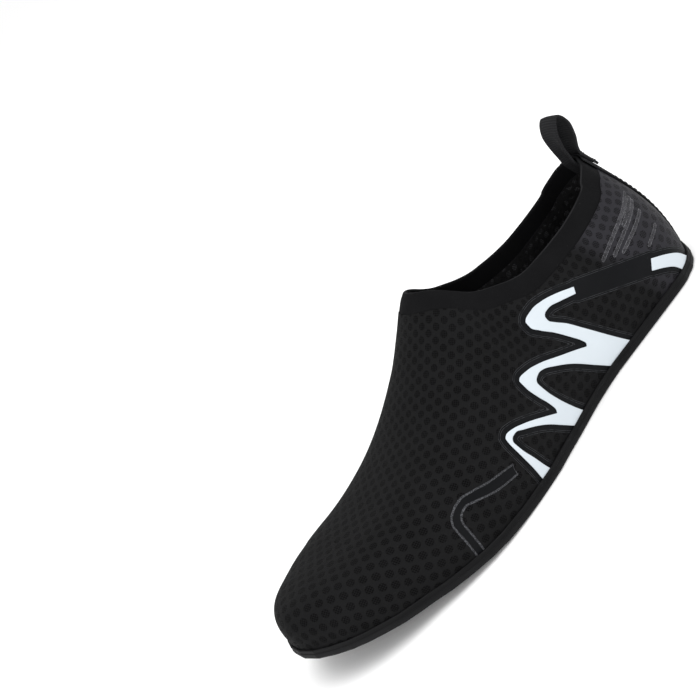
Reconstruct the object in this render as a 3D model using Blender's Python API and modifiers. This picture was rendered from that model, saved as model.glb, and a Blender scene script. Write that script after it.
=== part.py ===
"""Water shoe for the left foot: a knit upper on a thin rubber outsole, with an elastic collar band,
a heel tape with a pull loop, an insole and film overlays on both sides.

Metres, +X to the toe, +Y to the outer (lateral) side, +Z up. The shoe stands empty on its outsole, and the
middle of the underside's bounding box is the origin.
"""

import math

import bmesh
import bpy
import numpy as np
from mathutils import Matrix

# Driving dimensions
LENGTH = 0.270          # outsole, heel to toe
BALL_WIDTH = 0.095      # outsole across the ball of the foot
INSTEP_HEIGHT = 0.090   # floor to the front of the collar
TOE_SPRING = 0.016      # rise of the underside at the toe
HEEL_ROLL = 0.0015      # rise of the underside at the back of the heel
ARCH_LIFT = 0.0025      # rise of the underside at the inner waist
UPPER_WALL = 0.0022
BAND_WALL = 0.0015
BAND_WIDTH = 0.0095
BAND_STEP = 0.0004      # how far the band's face lies under the upper's
BAND_GAP = 0.0006       # seam between the band and the upper
SOLE_FLOOR = 0.0036     # rubber under the foot, lugs included
LIP_HEIGHT = 0.0052
LIP_WALL = 0.0013
EDGE_ROUND = 0.0013
EDGE_TRIM = 0.0004      # bevel on the small edges
RIB_HEIGHT = 0.0030     # the sole's side has a rib up to here, proud of the lip
RIB_STEP = 0.0003
INSOLE_THICKNESS = 0.0025
CLEARANCE = 0.0003      # between pieces that touch on the real shoe
LUG_PITCH = 0.0142      # across the flats of the hexagons in the tread
GROOVE_WIDTH = 0.0015
GROOVE_DEPTH = 0.0012
TREAD_BORDER = 0.0068   # plain rim of the tread
TAPE_WIDTH_TOP = 0.020
TAPE_WIDTH_LOW = 0.027
TAPE_WALL = 0.0008
LOOP_WIDTH = 0.0138
LOOP_WALL = 0.0016
LOOP_RISE = 0.022       # top of the loop above the collar
LOOP_GAP = 0.0075       # widest inside, front to back
LOOP_HOLD = 0.010       # length sewn to the heel below the collar
LOOP_LEAN = 0.10        # how far it leans back, a share of the rise
FILM_WALL = 0.0006
MERGE_DISTANCE = 0.000002
FLAT_ANGLE = math.radians(1.3)
TAPE_ROWS = 8
TAPE_COLUMNS = 4
LOOP_STEPS = 20
LOOP_COLUMNS = 3

# Sections of the last from the back of the heel round one side to the toe. along is the place in the half outline.
# spine is the section's foot on the centre line, a share of LENGTH, and turn its direction in plan: 180 back, 90 to
# the side, 0 to the toe. edge is the sole's outline and rim the collar's, both shares of BALL_WIDTH from the spine, and
# rise the height of the collar or, past the throat, of the ridge, a share of INSTEP_HEIGHT. The wall leaves the sole at
# lean and reaches the rim at rim_lean, in degrees from upright, and the pulls shape it, as shares of its chord.
SECTION_COLUMNS = ("along", "spine", "turn", "edge_lat", "edge_med", "rim_lat", "rim_med", "rise_lat", "rise_med",
                   "lean_lat", "lean_med", "rim_lean", "base_pull", "rim_pull")
SECTIONS = {
    "heel_back":   (0.000, 0.116, 180, 0.317, 0.317, 0.182, 0.182, 0.790, 0.790, 9, 9, 20, 0.42, 0.36),
    "heel_turn":   (0.055, 0.116, 150, 0.319, 0.319, 0.165, 0.160, 0.785, 0.780, 10, 10, 19, 0.42, 0.36),
    "heel_corner": (0.110, 0.116, 120, 0.327, 0.328, 0.165, 0.152, 0.770, 0.755, 11, 10, 18, 0.42, 0.36),
    "heel_side":   (0.165, 0.116, 90, 0.333, 0.334, 0.186, 0.165, 0.735, 0.720, 11, 9, 17, 0.42, 0.36),
    "ankle":       (0.255, 0.211, 90, 0.338, 0.322, 0.220, 0.190, 0.688, 0.690, 9, 5, 15, 0.42, 0.38),
    "waist":       (0.345, 0.304, 90, 0.340, 0.295, 0.232, 0.192, 0.698, 0.725, 9, 4, 18, 0.42, 0.40),
    "throat_side": (0.430, 0.381, 90, 0.366, 0.296, 0.225, 0.188, 0.790, 0.825, 9, 4, 30, 0.43, 0.40),
    "throat_turn": (0.485, 0.424, 90, 0.392, 0.304, 0.212, 0.185, 0.885, 0.910, 10, 5, 34, 0.44, 0.36),
    "throat":      (0.545, 0.461, 90, 0.418, 0.322, 0.205, 0.185, 1.000, 1.000, 10, 6, 40, 0.45, 0.245),
    "instep":      (0.572, 0.498, 90, 0.440, 0.347, 0.000, 0.000, 0.897, 0.897, 10, 7, 90, 0.46, 0.31),
    "vamp":        (0.610, 0.551, 90, 0.475, 0.388, 0.000, 0.000, 0.762, 0.762, 10, 8, 90, 0.48, 0.36),
    "ball":        (0.730, 0.687, 90, 0.504, 0.464, 0.000, 0.000, 0.515, 0.515, 8, 10, 90, 0.52, 0.52),
    "toe_side":    (0.820, 0.785, 90, 0.465, 0.480, 0.000, 0.000, 0.440, 0.440, 7, 9, 90, 0.54, 0.55),
    "toe_start":   (0.865, 0.834, 90, 0.416, 0.462, 0.000, 0.000, 0.430, 0.430, 6, 8, 90, 0.55, 0.56),
    "toe_turn":    (0.910, 0.834, 60, 0.396, 0.444, 0.000, 0.000, 0.430, 0.430, 5, 7, 90, 0.55, 0.56),
    "toe_corner":  (0.955, 0.834, 30, 0.436, 0.470, 0.000, 0.000, 0.430, 0.430, 5, 6, 90, 0.55, 0.56),
    "toe":         (1.000, 0.834, 0, 0.483, 0.483, 0.000, 0.000, 0.430, 0.430, 5, 5, 90, 0.55, 0.56),
}
TURNING = ("along", "turn")
# The closed sections that the collar's front cuts open: height, a share of INSTEP_HEIGHT, and rim_pull on each side
VAMP_COLUMNS = ("height", "pull_lat", "pull_med")
VAMP = {"throat_side": (1.045, 0.135, 0.212), "throat_turn": (1.040, 0.160, 0.228)}
# Sideways bend of the centre line: share of LENGTH, share of BALL_WIDTH
SPINE_BEND = ((0.0, 0.0), (0.116, 0.0), (0.45, 0.0), (0.69, -0.01), (0.834, -0.03), (1.0, -0.03))
SPRING_START = 0.59     # share of LENGTH where the underside starts to rise
ROLL_END = 0.07
ARCH_MIDDLE = 0.40
ARCH_REACH = 0.19
ARCH_SIDE = 0.30        # share of BALL_WIDTH from the centre line to the full lift

# Stretches of the half outline, the columns in each, and whether they close up towards its end
STRETCHES = (("heel_back", "heel_side", 7, False), ("heel_side", "throat_side", 7, False),
             ("throat_side", "throat", 7, True), ("throat", "ball", 7, False), ("ball", "toe_start", 4, False),
             ("toe_start", "toe", 8, False))
# The pull loop above the rim: share of its rise, and bulge to the back (+) or front (-) as a share of half its gap
LOOP_BOW = ((0.14, 0.62), (0.38, 0.95), (0.62, 1.02), (0.84, 0.72), (1.00, 0.00), (0.88, -0.66), (0.66, -1.00),
            (0.40, -0.92), (0.14, -0.66))
# Edges of the zigzag film, seen from the side: smooth runs that meet at corners, round the outline. Each point is a
# share of LENGTH from the heel and a share of INSTEP_HEIGHT. Its three feet run down under the sole's lip.
ZIGZAG = (
    ((0.275, 0.472), (0.309, 0.523), (0.340, 0.560), (0.364, 0.579), (0.383, 0.583), (0.392, 0.569), (0.393, 0.537),
     (0.386, 0.500), (0.367, 0.426), (0.349, 0.343), (0.336, 0.278), (0.333, 0.252), (0.336, 0.239)),
    ((0.336, 0.239), (0.364, 0.292), (0.401, 0.357), (0.432, 0.407), (0.457, 0.440), (0.475, 0.452), (0.482, 0.440),
     (0.482, 0.398), (0.477, 0.324), (0.469, 0.250), (0.466, 0.204), (0.469, 0.185)),
    ((0.469, 0.185), (0.491, 0.232), (0.531, 0.310), (0.553, 0.341), (0.565, 0.349), (0.573, 0.338), (0.575, 0.296),
     (0.574, 0.213), (0.572, 0.130), (0.570, 0.000)),
    ((0.536, 0.000), (0.547, 0.051), (0.560, 0.176), (0.566, 0.241), (0.568, 0.296), (0.562, 0.317), (0.554, 0.319),
     (0.540, 0.296), (0.500, 0.204), (0.472, 0.111), (0.440, 0.000)),
    ((0.410, 0.000), (0.432, 0.111), (0.448, 0.213), (0.457, 0.296), (0.460, 0.361), (0.454, 0.378), (0.444, 0.381),
     (0.432, 0.370), (0.411, 0.329), (0.386, 0.269), (0.343, 0.130), (0.304, 0.000)),
    ((0.247, 0.000), (0.278, 0.130), (0.318, 0.315), (0.336, 0.398), (0.352, 0.454), (0.359, 0.486), (0.358, 0.505),
     (0.350, 0.516), (0.336, 0.511), (0.315, 0.486), (0.282, 0.444)),
)
# The film flash by the heel, which the zigzag's arm lines up with
HEEL_FLASH = (((0.040, 0.000), (0.059, 0.069), (0.077, 0.134), (0.102, 0.194), (0.131, 0.248)),
              ((0.131, 0.248), (0.145, 0.202)),
              ((0.145, 0.202), (0.120, 0.153), (0.102, 0.107), (0.080, 0.000)))
FILM_RANGE = ("heel_turn", "ball")
RUN_STEPS = 3            # fine steps between two points of a run, of which those are kept that
RUN_TURN = math.sin(math.radians(9))   # turn by more than this
# Round pods in the tread: share of LENGTH from the heel, share of BALL_WIDTH from the centre line, share of LUG_PITCH
# for the radius, and whether a ring is cut in it
PODS = (
    (0.130, 0.000, 0.95, True), (0.262, -0.120, 0.42, False), (0.270, 0.200, 0.50, False),
    (0.360, 0.010, 0.42, False), (0.455, 0.060, 0.50, False), (0.555, 0.040, 0.50, False),
    (0.660, -0.200, 0.62, True), (0.745, -0.230, 0.72, False), (0.715, 0.260, 0.66, True),
)
POD_SIDES = 20
WALL_ROWS = 8
CUT_STEPS = 40
BAND_ROWS = 3
FRONT_COLUMNS = 8
FRONT_SPACE = 0.006     # least space in the half outline between those and the next column
SIDES = {"lateral": 1, "medial": -1}


def smooth_curve(xs, ys, x, flat_ends=True):
    """Values at x of the smooth curve through the points, which never overshoots them."""
    xs, ys = np.asarray(xs, float), np.asarray(ys, float)
    step = np.diff(xs)
    rate = np.diff(ys) / step
    slope = np.zeros(len(xs))
    steady = rate[:-1] * rate[1:] > 0
    before, after = 2 * step[1:] + step[:-1], step[1:] + 2 * step[:-1]
    with np.errstate(divide="ignore", invalid="ignore"):
        mean = (before + after) / (before / rate[:-1] + after / rate[1:])
    slope[1:-1] = np.where(steady, mean, 0)
    if not flat_ends:
        slope[0], slope[-1] = rate[0], rate[-1]
    x = np.clip(x, xs[0], xs[-1])
    i = np.clip(np.searchsorted(xs, x) - 1, 0, len(step) - 1)
    u = (x - xs[i]) / step[i]
    start = ys[i] * (1 + 2 * u) * (1 - u) ** 2 + step[i] * slope[i] * u * (1 - u) ** 2
    end = ys[i + 1] * u * u * (3 - 2 * u) + step[i] * slope[i + 1] * u * u * (u - 1)
    return start + end


TABLE = {name: np.array([row[i] for row in SECTIONS.values()]) for i, name in enumerate(SECTION_COLUMNS)}
ALONG = dict(zip(SECTIONS, TABLE["along"]))
THROAT_ROW = list(SECTIONS).index("throat")


def section_value(name, t):
    return smooth_curve(TABLE["along"], TABLE[name], t, flat_ends=name not in TURNING)


def vamp_value(name, onward, t):
    """Value of the closed section: from VAMP behind the throat, where the collar's front cuts it open, and from the
    sections' column onward past it."""
    along = [ALONG[row] for row in VAMP] + list(TABLE["along"][THROAT_ROW:])
    values = [row[VAMP_COLUMNS.index(name)] for row in VAMP.values()] + list(TABLE[onward][THROAT_ROW:])
    return smooth_curve(along, values, t, flat_ends=False)


def vamp_height(t):
    return vamp_value("height", "rise_lat", t) * INSTEP_HEIGHT


def rim_share(t):
    """1 beside the foot, closing to 0 round the front of the collar as an ellipse does."""
    front, start = TABLE["spine"][THROAT_ROW], section_value("spine", ALONG["throat_side"])
    u = np.clip((section_value("spine", t) - start) / (front - start), 0, 1)
    return np.sqrt(1 - u * u)


def spine_point(t):
    """Foot of the section on the bent centre line."""
    x = section_value("spine", t)
    bend = smooth_curve(*zip(*SPINE_BEND), x)
    return x * LENGTH, bend * BALL_WIDTH


def direction(t, side):
    turn = np.radians(section_value("turn", t))
    return np.cos(turn), side * np.sin(turn)


def reach_to_edge(t, side):
    return section_value("edge_lat" if side > 0 else "edge_med", t) * BALL_WIDTH


def seat_inset(t, side):
    """How far the foot of the upper's face stands in from the sole's edge, so that it clears the lip as it leans out."""
    lean = np.radians(section_value("lean_lat" if side > 0 else "lean_med", t))
    return LIP_WALL + CLEARANCE + (LIP_HEIGHT - SOLE_FLOOR) * np.tan(lean)


def underside(x, y):
    """Height of the sole's underside over the floor."""
    s = x / LENGTH
    spring = TOE_SPRING * (np.clip(s - SPRING_START, 0, None) / (1 - SPRING_START)) ** 2
    roll = HEEL_ROLL * (np.clip(ROLL_END - s, 0, None) / ROLL_END) ** 2
    along = np.clip(1 - ((s - ARCH_MIDDLE) / ARCH_REACH) ** 2, 0, None) ** 2
    inward = np.clip(-y / (ARCH_SIDE * BALL_WIDTH), 0, 1)
    return spring + roll + ARCH_LIFT * along * inward * inward * (3 - 2 * inward)


def plan_point(t, side, reach):
    x, y = spine_point(t)
    dx, dy = direction(t, side)
    return x + dx * reach, y + dy * reach


def ridge_slope():
    """Slope of the ridge where the toe's sections fan out."""
    behind = ALONG["toe_start"] - np.array([0.004, 0.002])
    height, (x, _) = vamp_height(behind), spine_point(behind)
    return (height[1] - height[0]) / (x[1] - x[0])


def bezier(knots, v):
    weights = ((1 - v) ** 3, 3 * v * (1 - v) ** 2, 3 * v * v * (1 - v), v ** 3)
    return sum(weight * knot for weight, knot in zip(weights, knots))


def knots_to(t, side, top, height, rim_lean, rim_pull):
    """Knots of each section's curve from the sole to its top: reach from the spine, and height."""
    which = "lat" if side > 0 else "med"
    base = reach_to_edge(t, side) - seat_inset(t, side)
    base_height = underside(*plan_point(t, side, base)) + SOLE_FLOOR + CLEARANCE
    chord = np.hypot(base - top, height - base_height)
    lean, rim_lean = np.radians(section_value("lean_" + which, t)), np.radians(rim_lean)
    base_pull, rim_pull = section_value("base_pull", t) * chord, rim_pull * chord
    fan = np.cos(np.radians(section_value("turn", t))) * (t > ALONG["toe_start"])
    return np.array([
        (base, base_height),
        (base + np.sin(lean) * base_pull, base_height + np.cos(lean) * base_pull),
        (top + np.sin(rim_lean) * rim_pull, height - np.cos(rim_lean) * rim_pull + ridge_slope() * fan * rim_pull),
        (top, height),
    ])


def cut_at_reach(knots, reach):
    """The part of each curve up to the place where it comes this near the spine."""
    low, high = np.full(len(reach), 0.4), np.ones(len(reach))
    for _ in range(CUT_STEPS):
        middle = (low + high) / 2
        outside = bezier(knots[:, 0], middle) > reach
        low, high = np.where(outside, middle, low), np.where(outside, high, middle)
    first, second, third = (here + (following - here) * high for here, following in zip(knots, knots[1:]))
    inner, outer = first + (second - first) * high, second + (third - second) * high
    return np.array([knots[0], first, inner, inner + (outer - inner) * high])


def wall_knots(t, side):
    """Knots of the sections. Up to the throat's side they end at the collar's rim. From there to the throat they go
    over to the closed section, cut where the rim's round front crosses it, and past the throat they are closed."""
    which = "lat" if side > 0 else "med"
    rim = section_value("rim_" + which, t) * BALL_WIDTH * rim_share(t)
    whole = knots_to(t, side, 0 * t, vamp_height(t), 90, vamp_value("pull_" + which, "rim_pull", t))
    rise = section_value("rise_" + which, t) * INSTEP_HEIGHT
    collar = knots_to(t, side, rim, rise, section_value("rim_lean", t), section_value("rim_pull", t))
    start, end = ALONG["throat_side"], ALONG["throat_turn"]
    part = np.clip((t - start) / (end - start), 0, 1)
    part = part * part * (3 - 2 * part)
    cut_open = np.where(t < ALONG["throat"], cut_at_reach(whole, rim), whole)
    return collar + (cut_open - collar) * part


def wall_points(t, v, side):
    """Points of the upper's outer face for columns t, each at the shares v of its height: an array of n by m points."""
    t = np.atleast_1d(np.asarray(t, float))
    v = np.broadcast_to(v, (len(t), np.shape(v)[-1]))
    reach, z = bezier(wall_knots(t, side)[..., None], v)
    x, y = spine_point(t)
    dx, dy = direction(t, side)
    return np.stack([x[:, None] + dx[:, None] * reach, y[:, None] + dy[:, None] * reach, z], -1)


def columns(first="heel_back", last="toe"):
    """Places of the columns from one section to another."""
    places = [ALONG[first]]
    names = list(SECTIONS)
    for start, end, count, closing in STRETCHES:
        if names.index(start) < names.index(first) or names.index(end) > names.index(last):
            continue
        steps = np.arange(1, count + 1) / count
        steps = np.sin(steps * math.pi / 2) if closing else steps
        places += list(ALONG[start] + (ALONG[end] - ALONG[start]) * steps)
    return np.array(places)


def collar_line(step_count=60):
    """Points round the collar's rim, from the throat along the lateral side, round the heel and back."""
    t = np.concatenate([columns("heel_back", "throat"), np.linspace(0, ALONG["throat"], step_count)])
    t = np.unique(t)
    lateral, medial = (wall_points(t, np.ones(1), side)[:, 0] for side in (1, -1))
    return np.concatenate([lateral[::-1], medial[1:]])


def distance_to_rim(points):
    """Distance from each point of an n by m grid to the collar's rim."""
    rim = collar_line()
    start, edge = rim[:-1], np.diff(rim, axis=0)
    place = np.einsum("nmkj,kj->nmk", points[:, :, None] - start, edge) / (edge ** 2).sum(1)
    nearest = start + np.clip(place, 0, 1)[..., None] * edge
    return np.linalg.norm(points[:, :, None] - nearest, axis=-1).min(2)


def share_below_rim(t, side, distance):
    """Share of each column's height that lies at this distance from the rim, or 1 past the collar's reach."""
    shares = np.linspace(0.4, 1, 121)
    away = distance_to_rim(wall_points(t, shares, side))
    row = np.arange(len(t))
    beyond = away > distance
    last = np.where(beyond.any(1), len(shares) - 1 - beyond[:, ::-1].argmax(1), 0)
    after = np.minimum(last + 1, len(shares) - 1)
    fall = np.where(after > last, away[row, last] - away[row, after], 1)
    part = np.clip((away[row, last] - distance) / fall, 0, 1)
    return np.where(after > last, shares[last] + part * (shares[after] - shares[last]), 1.0)


def front_of(distance):
    """Place along the outline where the ridge is this far from the collar's rim."""
    t = np.linspace(ALONG["throat"], ALONG["vamp"], 80)
    return float(np.interp(distance, distance_to_rim(wall_points(t, np.ones(1), 1))[:, 0], t))


def collar_columns(distance):
    """Columns of the whole outline, closing up where a line at this distance from the rim meets the ridge."""
    throat, front = ALONG["throat"], front_of(distance)
    near = throat + (front - throat) * np.sin(np.linspace(0, math.pi / 2, FRONT_COLUMNS + 1))
    t = columns()
    away = np.where(t < throat, throat - t, t - front)
    return np.sort(np.concatenate([t[away > FRONT_SPACE], near]))


def lip_share(t, side):
    """Share of each column's height just over the sole's lip."""
    shares = np.linspace(0, 0.3, 31)
    points = wall_points(t, shares, side)
    height = points[..., 2] - underside(points[..., 0], points[..., 1])
    over = LIP_HEIGHT + 2 * CLEARANCE
    return np.array([np.interp(over, column, shares) for column in height])


def wall_rows(t, side, top):
    """Shares of the wall's rows for each column: the base, the lip and even steps up to the top."""
    low = lip_share(t, side)[:, None]
    steps = np.arange(WALL_ROWS) / (WALL_ROWS - 1)
    return np.hstack([np.zeros_like(low), low + (top[:, None] - low) * steps])


def wall_normals(t, v, side):
    """Outward unit normals of the wall at the same places as wall_points."""
    step = 0.002
    t = np.atleast_1d(t)
    v = np.broadcast_to(v, (len(t), np.shape(v)[-1]))
    ahead, behind = np.minimum(t + step, 1), np.maximum(t - step, 0)
    up, down = np.minimum(v + step, 1), np.maximum(v - step, 0)
    under_ridge = np.minimum(v, 1 - step)
    across = wall_points(ahead, under_ridge, side) - wall_points(behind, under_ridge, side)
    rise = wall_points(t, up, side) - wall_points(t, down, side)
    normal = np.cross(rise, across) * side
    on_middle = ((t <= 0) | (t >= 1))[:, None] | (v >= 1) & (t >= ALONG["throat"])[:, None]
    normal[on_middle, 1] = 0
    return normal / np.linalg.norm(normal, axis=-1, keepdims=True)


def material(name, colour, roughness, metallic=0.0):
    made = bpy.data.materials.new(name)
    made.use_nodes = True
    shader = made.node_tree.nodes["Principled BSDF"]
    shader.inputs["Base Color"].default_value = (*colour, 1)
    shader.inputs["Roughness"].default_value = roughness
    shader.inputs["Metallic"].default_value = metallic
    return made


def add_grid(mesh, points, flipped, normals=None):
    """Quads over an n by m array of points, whose faces point out on the lateral side where flipped is set."""
    layer = mesh.verts.layers.float_vector.get("outward")
    made = [[mesh.verts.new(point) for point in column] for column in points]
    if normals is not None:
        for column, directions in zip(made, normals):
            for vert, direction_out in zip(column, directions):
                vert[layer] = direction_out
    for here, following in zip(made, made[1:]):
        for i in range(len(here) - 1):
            corners = [here[i], following[i], following[i + 1], here[i + 1]]
            mesh.faces.new(corners[::-1] if flipped else corners)


def merge(mesh):
    bmesh.ops.remove_doubles(mesh, verts=mesh.verts, dist=MERGE_DISTANCE)
    bmesh.ops.dissolve_degenerate(mesh, edges=mesh.edges, dist=MERGE_DISTANCE)


def grid_object(name, grids, finish, collection, closed=False):
    """Object from grids of points, where points that meet become one."""
    mesh = bmesh.new()
    for points, flipped in grids:
        add_grid(mesh, points, flipped)
    merge(mesh)
    if closed:
        bmesh.ops.recalc_face_normals(mesh, faces=mesh.faces)
    return link_object(name, mesh, finish, collection)


def wall_object(name, stretches, depth, wall, finish, collection):
    """Shell of the last's wall, its outer face at this depth under the last's surface. stretches gives columns, rows
    and side. The thickness is laid off along the surface's own normals, so that the edges of neighbours stay parallel.
    """
    mesh = bmesh.new()
    layer = mesh.verts.layers.float_vector.new("outward")
    for t, v, side in stretches:
        add_grid(mesh, wall_points(t, v, side), side > 0, wall_normals(t, v, side))
    merge(mesh)
    outer = {vert: vert.co - vert[layer] * depth for vert in mesh.verts}
    inner = {vert: mesh.verts.new(vert.co - vert[layer] * (depth + wall)) for vert in list(mesh.verts)}
    for face in list(mesh.faces):
        mesh.faces.new([inner[vert] for vert in reversed(face.verts)])
    for edge in [edge for edge in mesh.edges if edge.is_boundary and edge.verts[0] in inner]:
        first, second = edge.verts
        mesh.faces.new([first, second, inner[second], inner[first]])
    for vert, place in outer.items():
        vert.co = place
    bmesh.ops.recalc_face_normals(mesh, faces=mesh.faces)
    return link_object(name, mesh, finish, collection)


def link_object(name, mesh, finish, collection):
    data = bpy.data.meshes.new(name)
    mesh.to_mesh(data)
    mesh.free()
    data.shade_smooth()
    data.set_sharp_from_angle(angle=math.radians(40))
    made = bpy.data.objects.new(name, data)
    if finish:
        data.materials.append(finish)
    collection.objects.link(made)
    return made


def thicken(piece, wall, outward):
    shell = piece.modifiers.new("Wall", "SOLIDIFY")
    shell.thickness = wall
    shell.offset = 1 if outward else -1
    shell.use_even_offset = True
    return shell


def lift_off(piece, distance):
    layer = piece.modifiers.new("Layer", "DISPLACE")
    layer.mid_level = 0
    layer.strength = distance
    return layer


def cut(piece, tool, operation="DIFFERENCE"):
    made = piece.modifiers.new(operation.title(), "BOOLEAN")
    made.operation = operation
    made.object = tool
    made.solver = "EXACT"
    return made


def wall_grid(t, v, side):
    return wall_points(t, v, side), side > 0


def section_loft(name, profile, finish, collection):
    """Closed solid whose section at each column is the profile's points, given by reach from the spine and height."""
    grids = []
    for side in SIDES.values():
        t = columns()
        reach, height = profile(t, side)
        x, y = spine_point(t)
        dx, dy = direction(t, side)
        x, y = x[:, None] + dx[:, None] * reach, y[:, None] + dy[:, None] * reach
        grids.append((np.stack([x, y, underside(x, y) + height], -1), side > 0))
    return grid_object(name, grids, finish, collection, closed=True)


def outsole_profile(t, side):
    edge = reach_to_edge(t, side)[:, None]
    zero = np.zeros_like(edge)
    lip = edge - RIB_STEP
    inner = edge - LIP_WALL
    reach = [zero, edge * 0.55, edge - EDGE_ROUND, edge - 0.3 * EDGE_ROUND, edge, edge, lip, lip,
             lip - EDGE_TRIM, inner, inner, edge * 0.5, zero]
    height = [0, 0, 0, 0.3 * EDGE_ROUND, EDGE_ROUND, RIB_HEIGHT, RIB_HEIGHT + RIB_STEP, LIP_HEIGHT - EDGE_TRIM,
              LIP_HEIGHT, LIP_HEIGHT, SOLE_FLOOR, SOLE_FLOOR, SOLE_FLOOR]
    return np.hstack(reach), np.array(height)[None, :]


def insole_profile(t, side):
    edge = (reach_to_edge(t, side) - seat_inset(t, side) - UPPER_WALL - 2 * CLEARANCE)[:, None]
    zero = np.zeros_like(edge)
    low = SOLE_FLOOR + CLEARANCE
    reach = [zero, edge * 0.5, edge, edge, edge - EDGE_TRIM, edge * 0.5, zero]
    high = low + INSOLE_THICKNESS
    height = [low, low, low, high - EDGE_TRIM, high, high, high]
    return np.hstack(reach), np.array(height)[None, :]


def build_upper(finish, collection):
    t = collar_columns(BAND_WIDTH + BAND_GAP)
    stretches = []
    for side in SIDES.values():
        top = share_below_rim(t, side, BAND_WIDTH + BAND_GAP)
        stretches.append((t, wall_rows(t, side, top), side))
    return wall_object("upper", stretches, 0, UPPER_WALL, finish, collection)


def build_collar_band(finish, collection):
    """Elastic band that finishes the collar, a step lower than the upper's face."""
    t = collar_columns(BAND_WIDTH)
    t = t[t <= front_of(BAND_WIDTH) + 1e-9]
    stretches = []
    for side in SIDES.values():
        low = share_below_rim(t, side, BAND_WIDTH)[:, None]
        stretches.append((t, low + (1 - low) * np.arange(BAND_ROWS + 1) / BAND_ROWS, side))
    return wall_object("collar_band", stretches, BAND_STEP, BAND_WALL, finish, collection)


def heel_places(half_width, v):
    """Places along the outline of a line half_width beside the middle of the heel, at each share v of its height."""
    reach = np.hypot(*(wall_points([0], v, 1)[0, :, :2] - np.array(spine_point(0))).T)
    turn = np.degrees(half_width / reach)
    return turn / (180 - SECTIONS["heel_turn"][2]) * ALONG["heel_turn"]


def heel_strip(half_width, v, side, count):
    """Points and outward normals of a strip up the heel, as columns across and rows up."""
    places = heel_places(half_width, v)[None, :] * np.linspace(0, 1, count)[:, None]
    points = [wall_points(places[:, i], v[i:i + 1], side) for i in range(len(v))]
    normals = [wall_normals(places[:, i], v[i:i + 1], side) for i in range(len(v))]
    return np.concatenate(points, axis=1), np.concatenate(normals, axis=1)


def build_heel_tape(finish, collection):
    """Tape up the back seam, wider towards the sole."""
    low = lip_share(np.zeros(1), 1)[0]
    v = np.linspace(low, 1, TAPE_ROWS + 1)
    half_width = np.linspace(TAPE_WIDTH_LOW, TAPE_WIDTH_TOP, TAPE_ROWS + 1) / 2
    grids = []
    for side in SIDES.values():
        points, normals = heel_strip(half_width, v, side, TAPE_COLUMNS)
        grids.append((points + normals * CLEARANCE, side > 0))
    tape = grid_object("heel_tape", grids, finish, collection)
    thicken(tape, TAPE_WALL, outward=True)
    return tape


def loop_path():
    """Rise over the rim and distance out from the heel's face of the webbing's middle, from the outer end to the inner."""
    outer = CLEARANCE + TAPE_WALL + CLEARANCE + LOOP_WALL / 2
    inner = -(max(UPPER_WALL, BAND_STEP + BAND_WALL) + CLEARANCE + LOOP_WALL / 2)
    middle, half = (outer + inner) / 2, (LOOP_GAP + LOOP_WALL) / 2
    ends = [(-LOOP_HOLD, outer), (-LOOP_HOLD / 2, outer), (0, outer)]
    bow = [(rise * (LOOP_RISE - LOOP_WALL / 2), middle + bulge * half) for rise, bulge in LOOP_BOW]
    path = np.array(ends + bow + [(rise, inner) for rise, _ in ends[::-1]])
    place = np.append(0, np.cumsum(np.hypot(*np.diff(path, axis=0).T)))
    fine = np.linspace(0, place[-1], LOOP_STEPS + 1)
    rise = smooth_curve(place, path[:, 0], fine, flat_ends=False)
    out = smooth_curve(place, path[:, 1], fine, flat_ends=False)
    return rise, out + LOOP_LEAN * np.maximum(rise, 0)


def build_pull_loop(finish, collection):
    """Webbing loop over the heel's rim, its ends sewn outside and inside. It stays curved as the heel is at its ends
    and flattens towards its top."""
    rise, out = loop_path()
    height = wall_points([0], np.linspace(0.5, 1, 60), 1)[0, :, 2]
    v = np.interp(height[-1] + np.minimum(rise, 0), height, np.linspace(0.5, 1, 60))
    flat = np.clip(rise / LOOP_RISE, 0, 1)[None, :, None]
    flat = flat * flat * (3 - 2 * flat)
    half_width = np.full(len(v), LOOP_WIDTH / 2)
    grids = []
    for side in SIDES.values():
        points, normals = heel_strip(half_width, v, side, LOOP_COLUMNS)
        normals = normals * (1 - flat) + np.array([-1.0, 0, 0]) * flat
        normals /= np.linalg.norm(normals, axis=-1, keepdims=True)
        points[..., 0] += (points[:1, :, 0] - points[..., 0]) * flat[..., 0]
        points = points + normals * out[None, :, None]
        points[..., 2] += np.maximum(rise, 0)
        grids.append((points, side > 0))
    loop = grid_object("pull_loop", grids, finish, collection)
    webbing = thicken(loop, LOOP_WALL, outward=True)
    webbing.offset = 0
    return loop


def smooth_run(points):
    """Points of the smooth curve through the run's own, kept close together where it bends."""
    points = np.array(points, float)
    if len(points) == 2:
        return points
    place = np.append(0, np.cumsum(np.hypot(*np.diff(points, axis=0).T)))
    fine = np.linspace(0, place[-1], RUN_STEPS * (len(points) - 1) + 1)
    curve = np.stack([smooth_curve(place, points[:, i], fine, flat_ends=False) for i in (0, 1)], 1)
    kept, sides = [curve[0]], np.array([LENGTH, INSTEP_HEIGHT])
    for here, following in zip(curve[1:], curve[2:]):
        before, after = (here - kept[-1]) * sides, (following - here) * sides
        turn = abs(before[0] * after[1] - before[1] * after[0]) / (np.hypot(*before) * np.hypot(*after))
        if turn > RUN_TURN:
            kept.append(here)
    return np.array(kept + [curve[-1]])


def film_outline(runs):
    """Corners of the closed outline of the runs, without those where one run starts at the last one's end."""
    outline = np.concatenate([smooth_run(run) for run in runs])
    new = np.any(outline != np.roll(outline, 1, axis=0), axis=1)
    return outline[new] * (LENGTH, INSTEP_HEIGHT)


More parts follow.
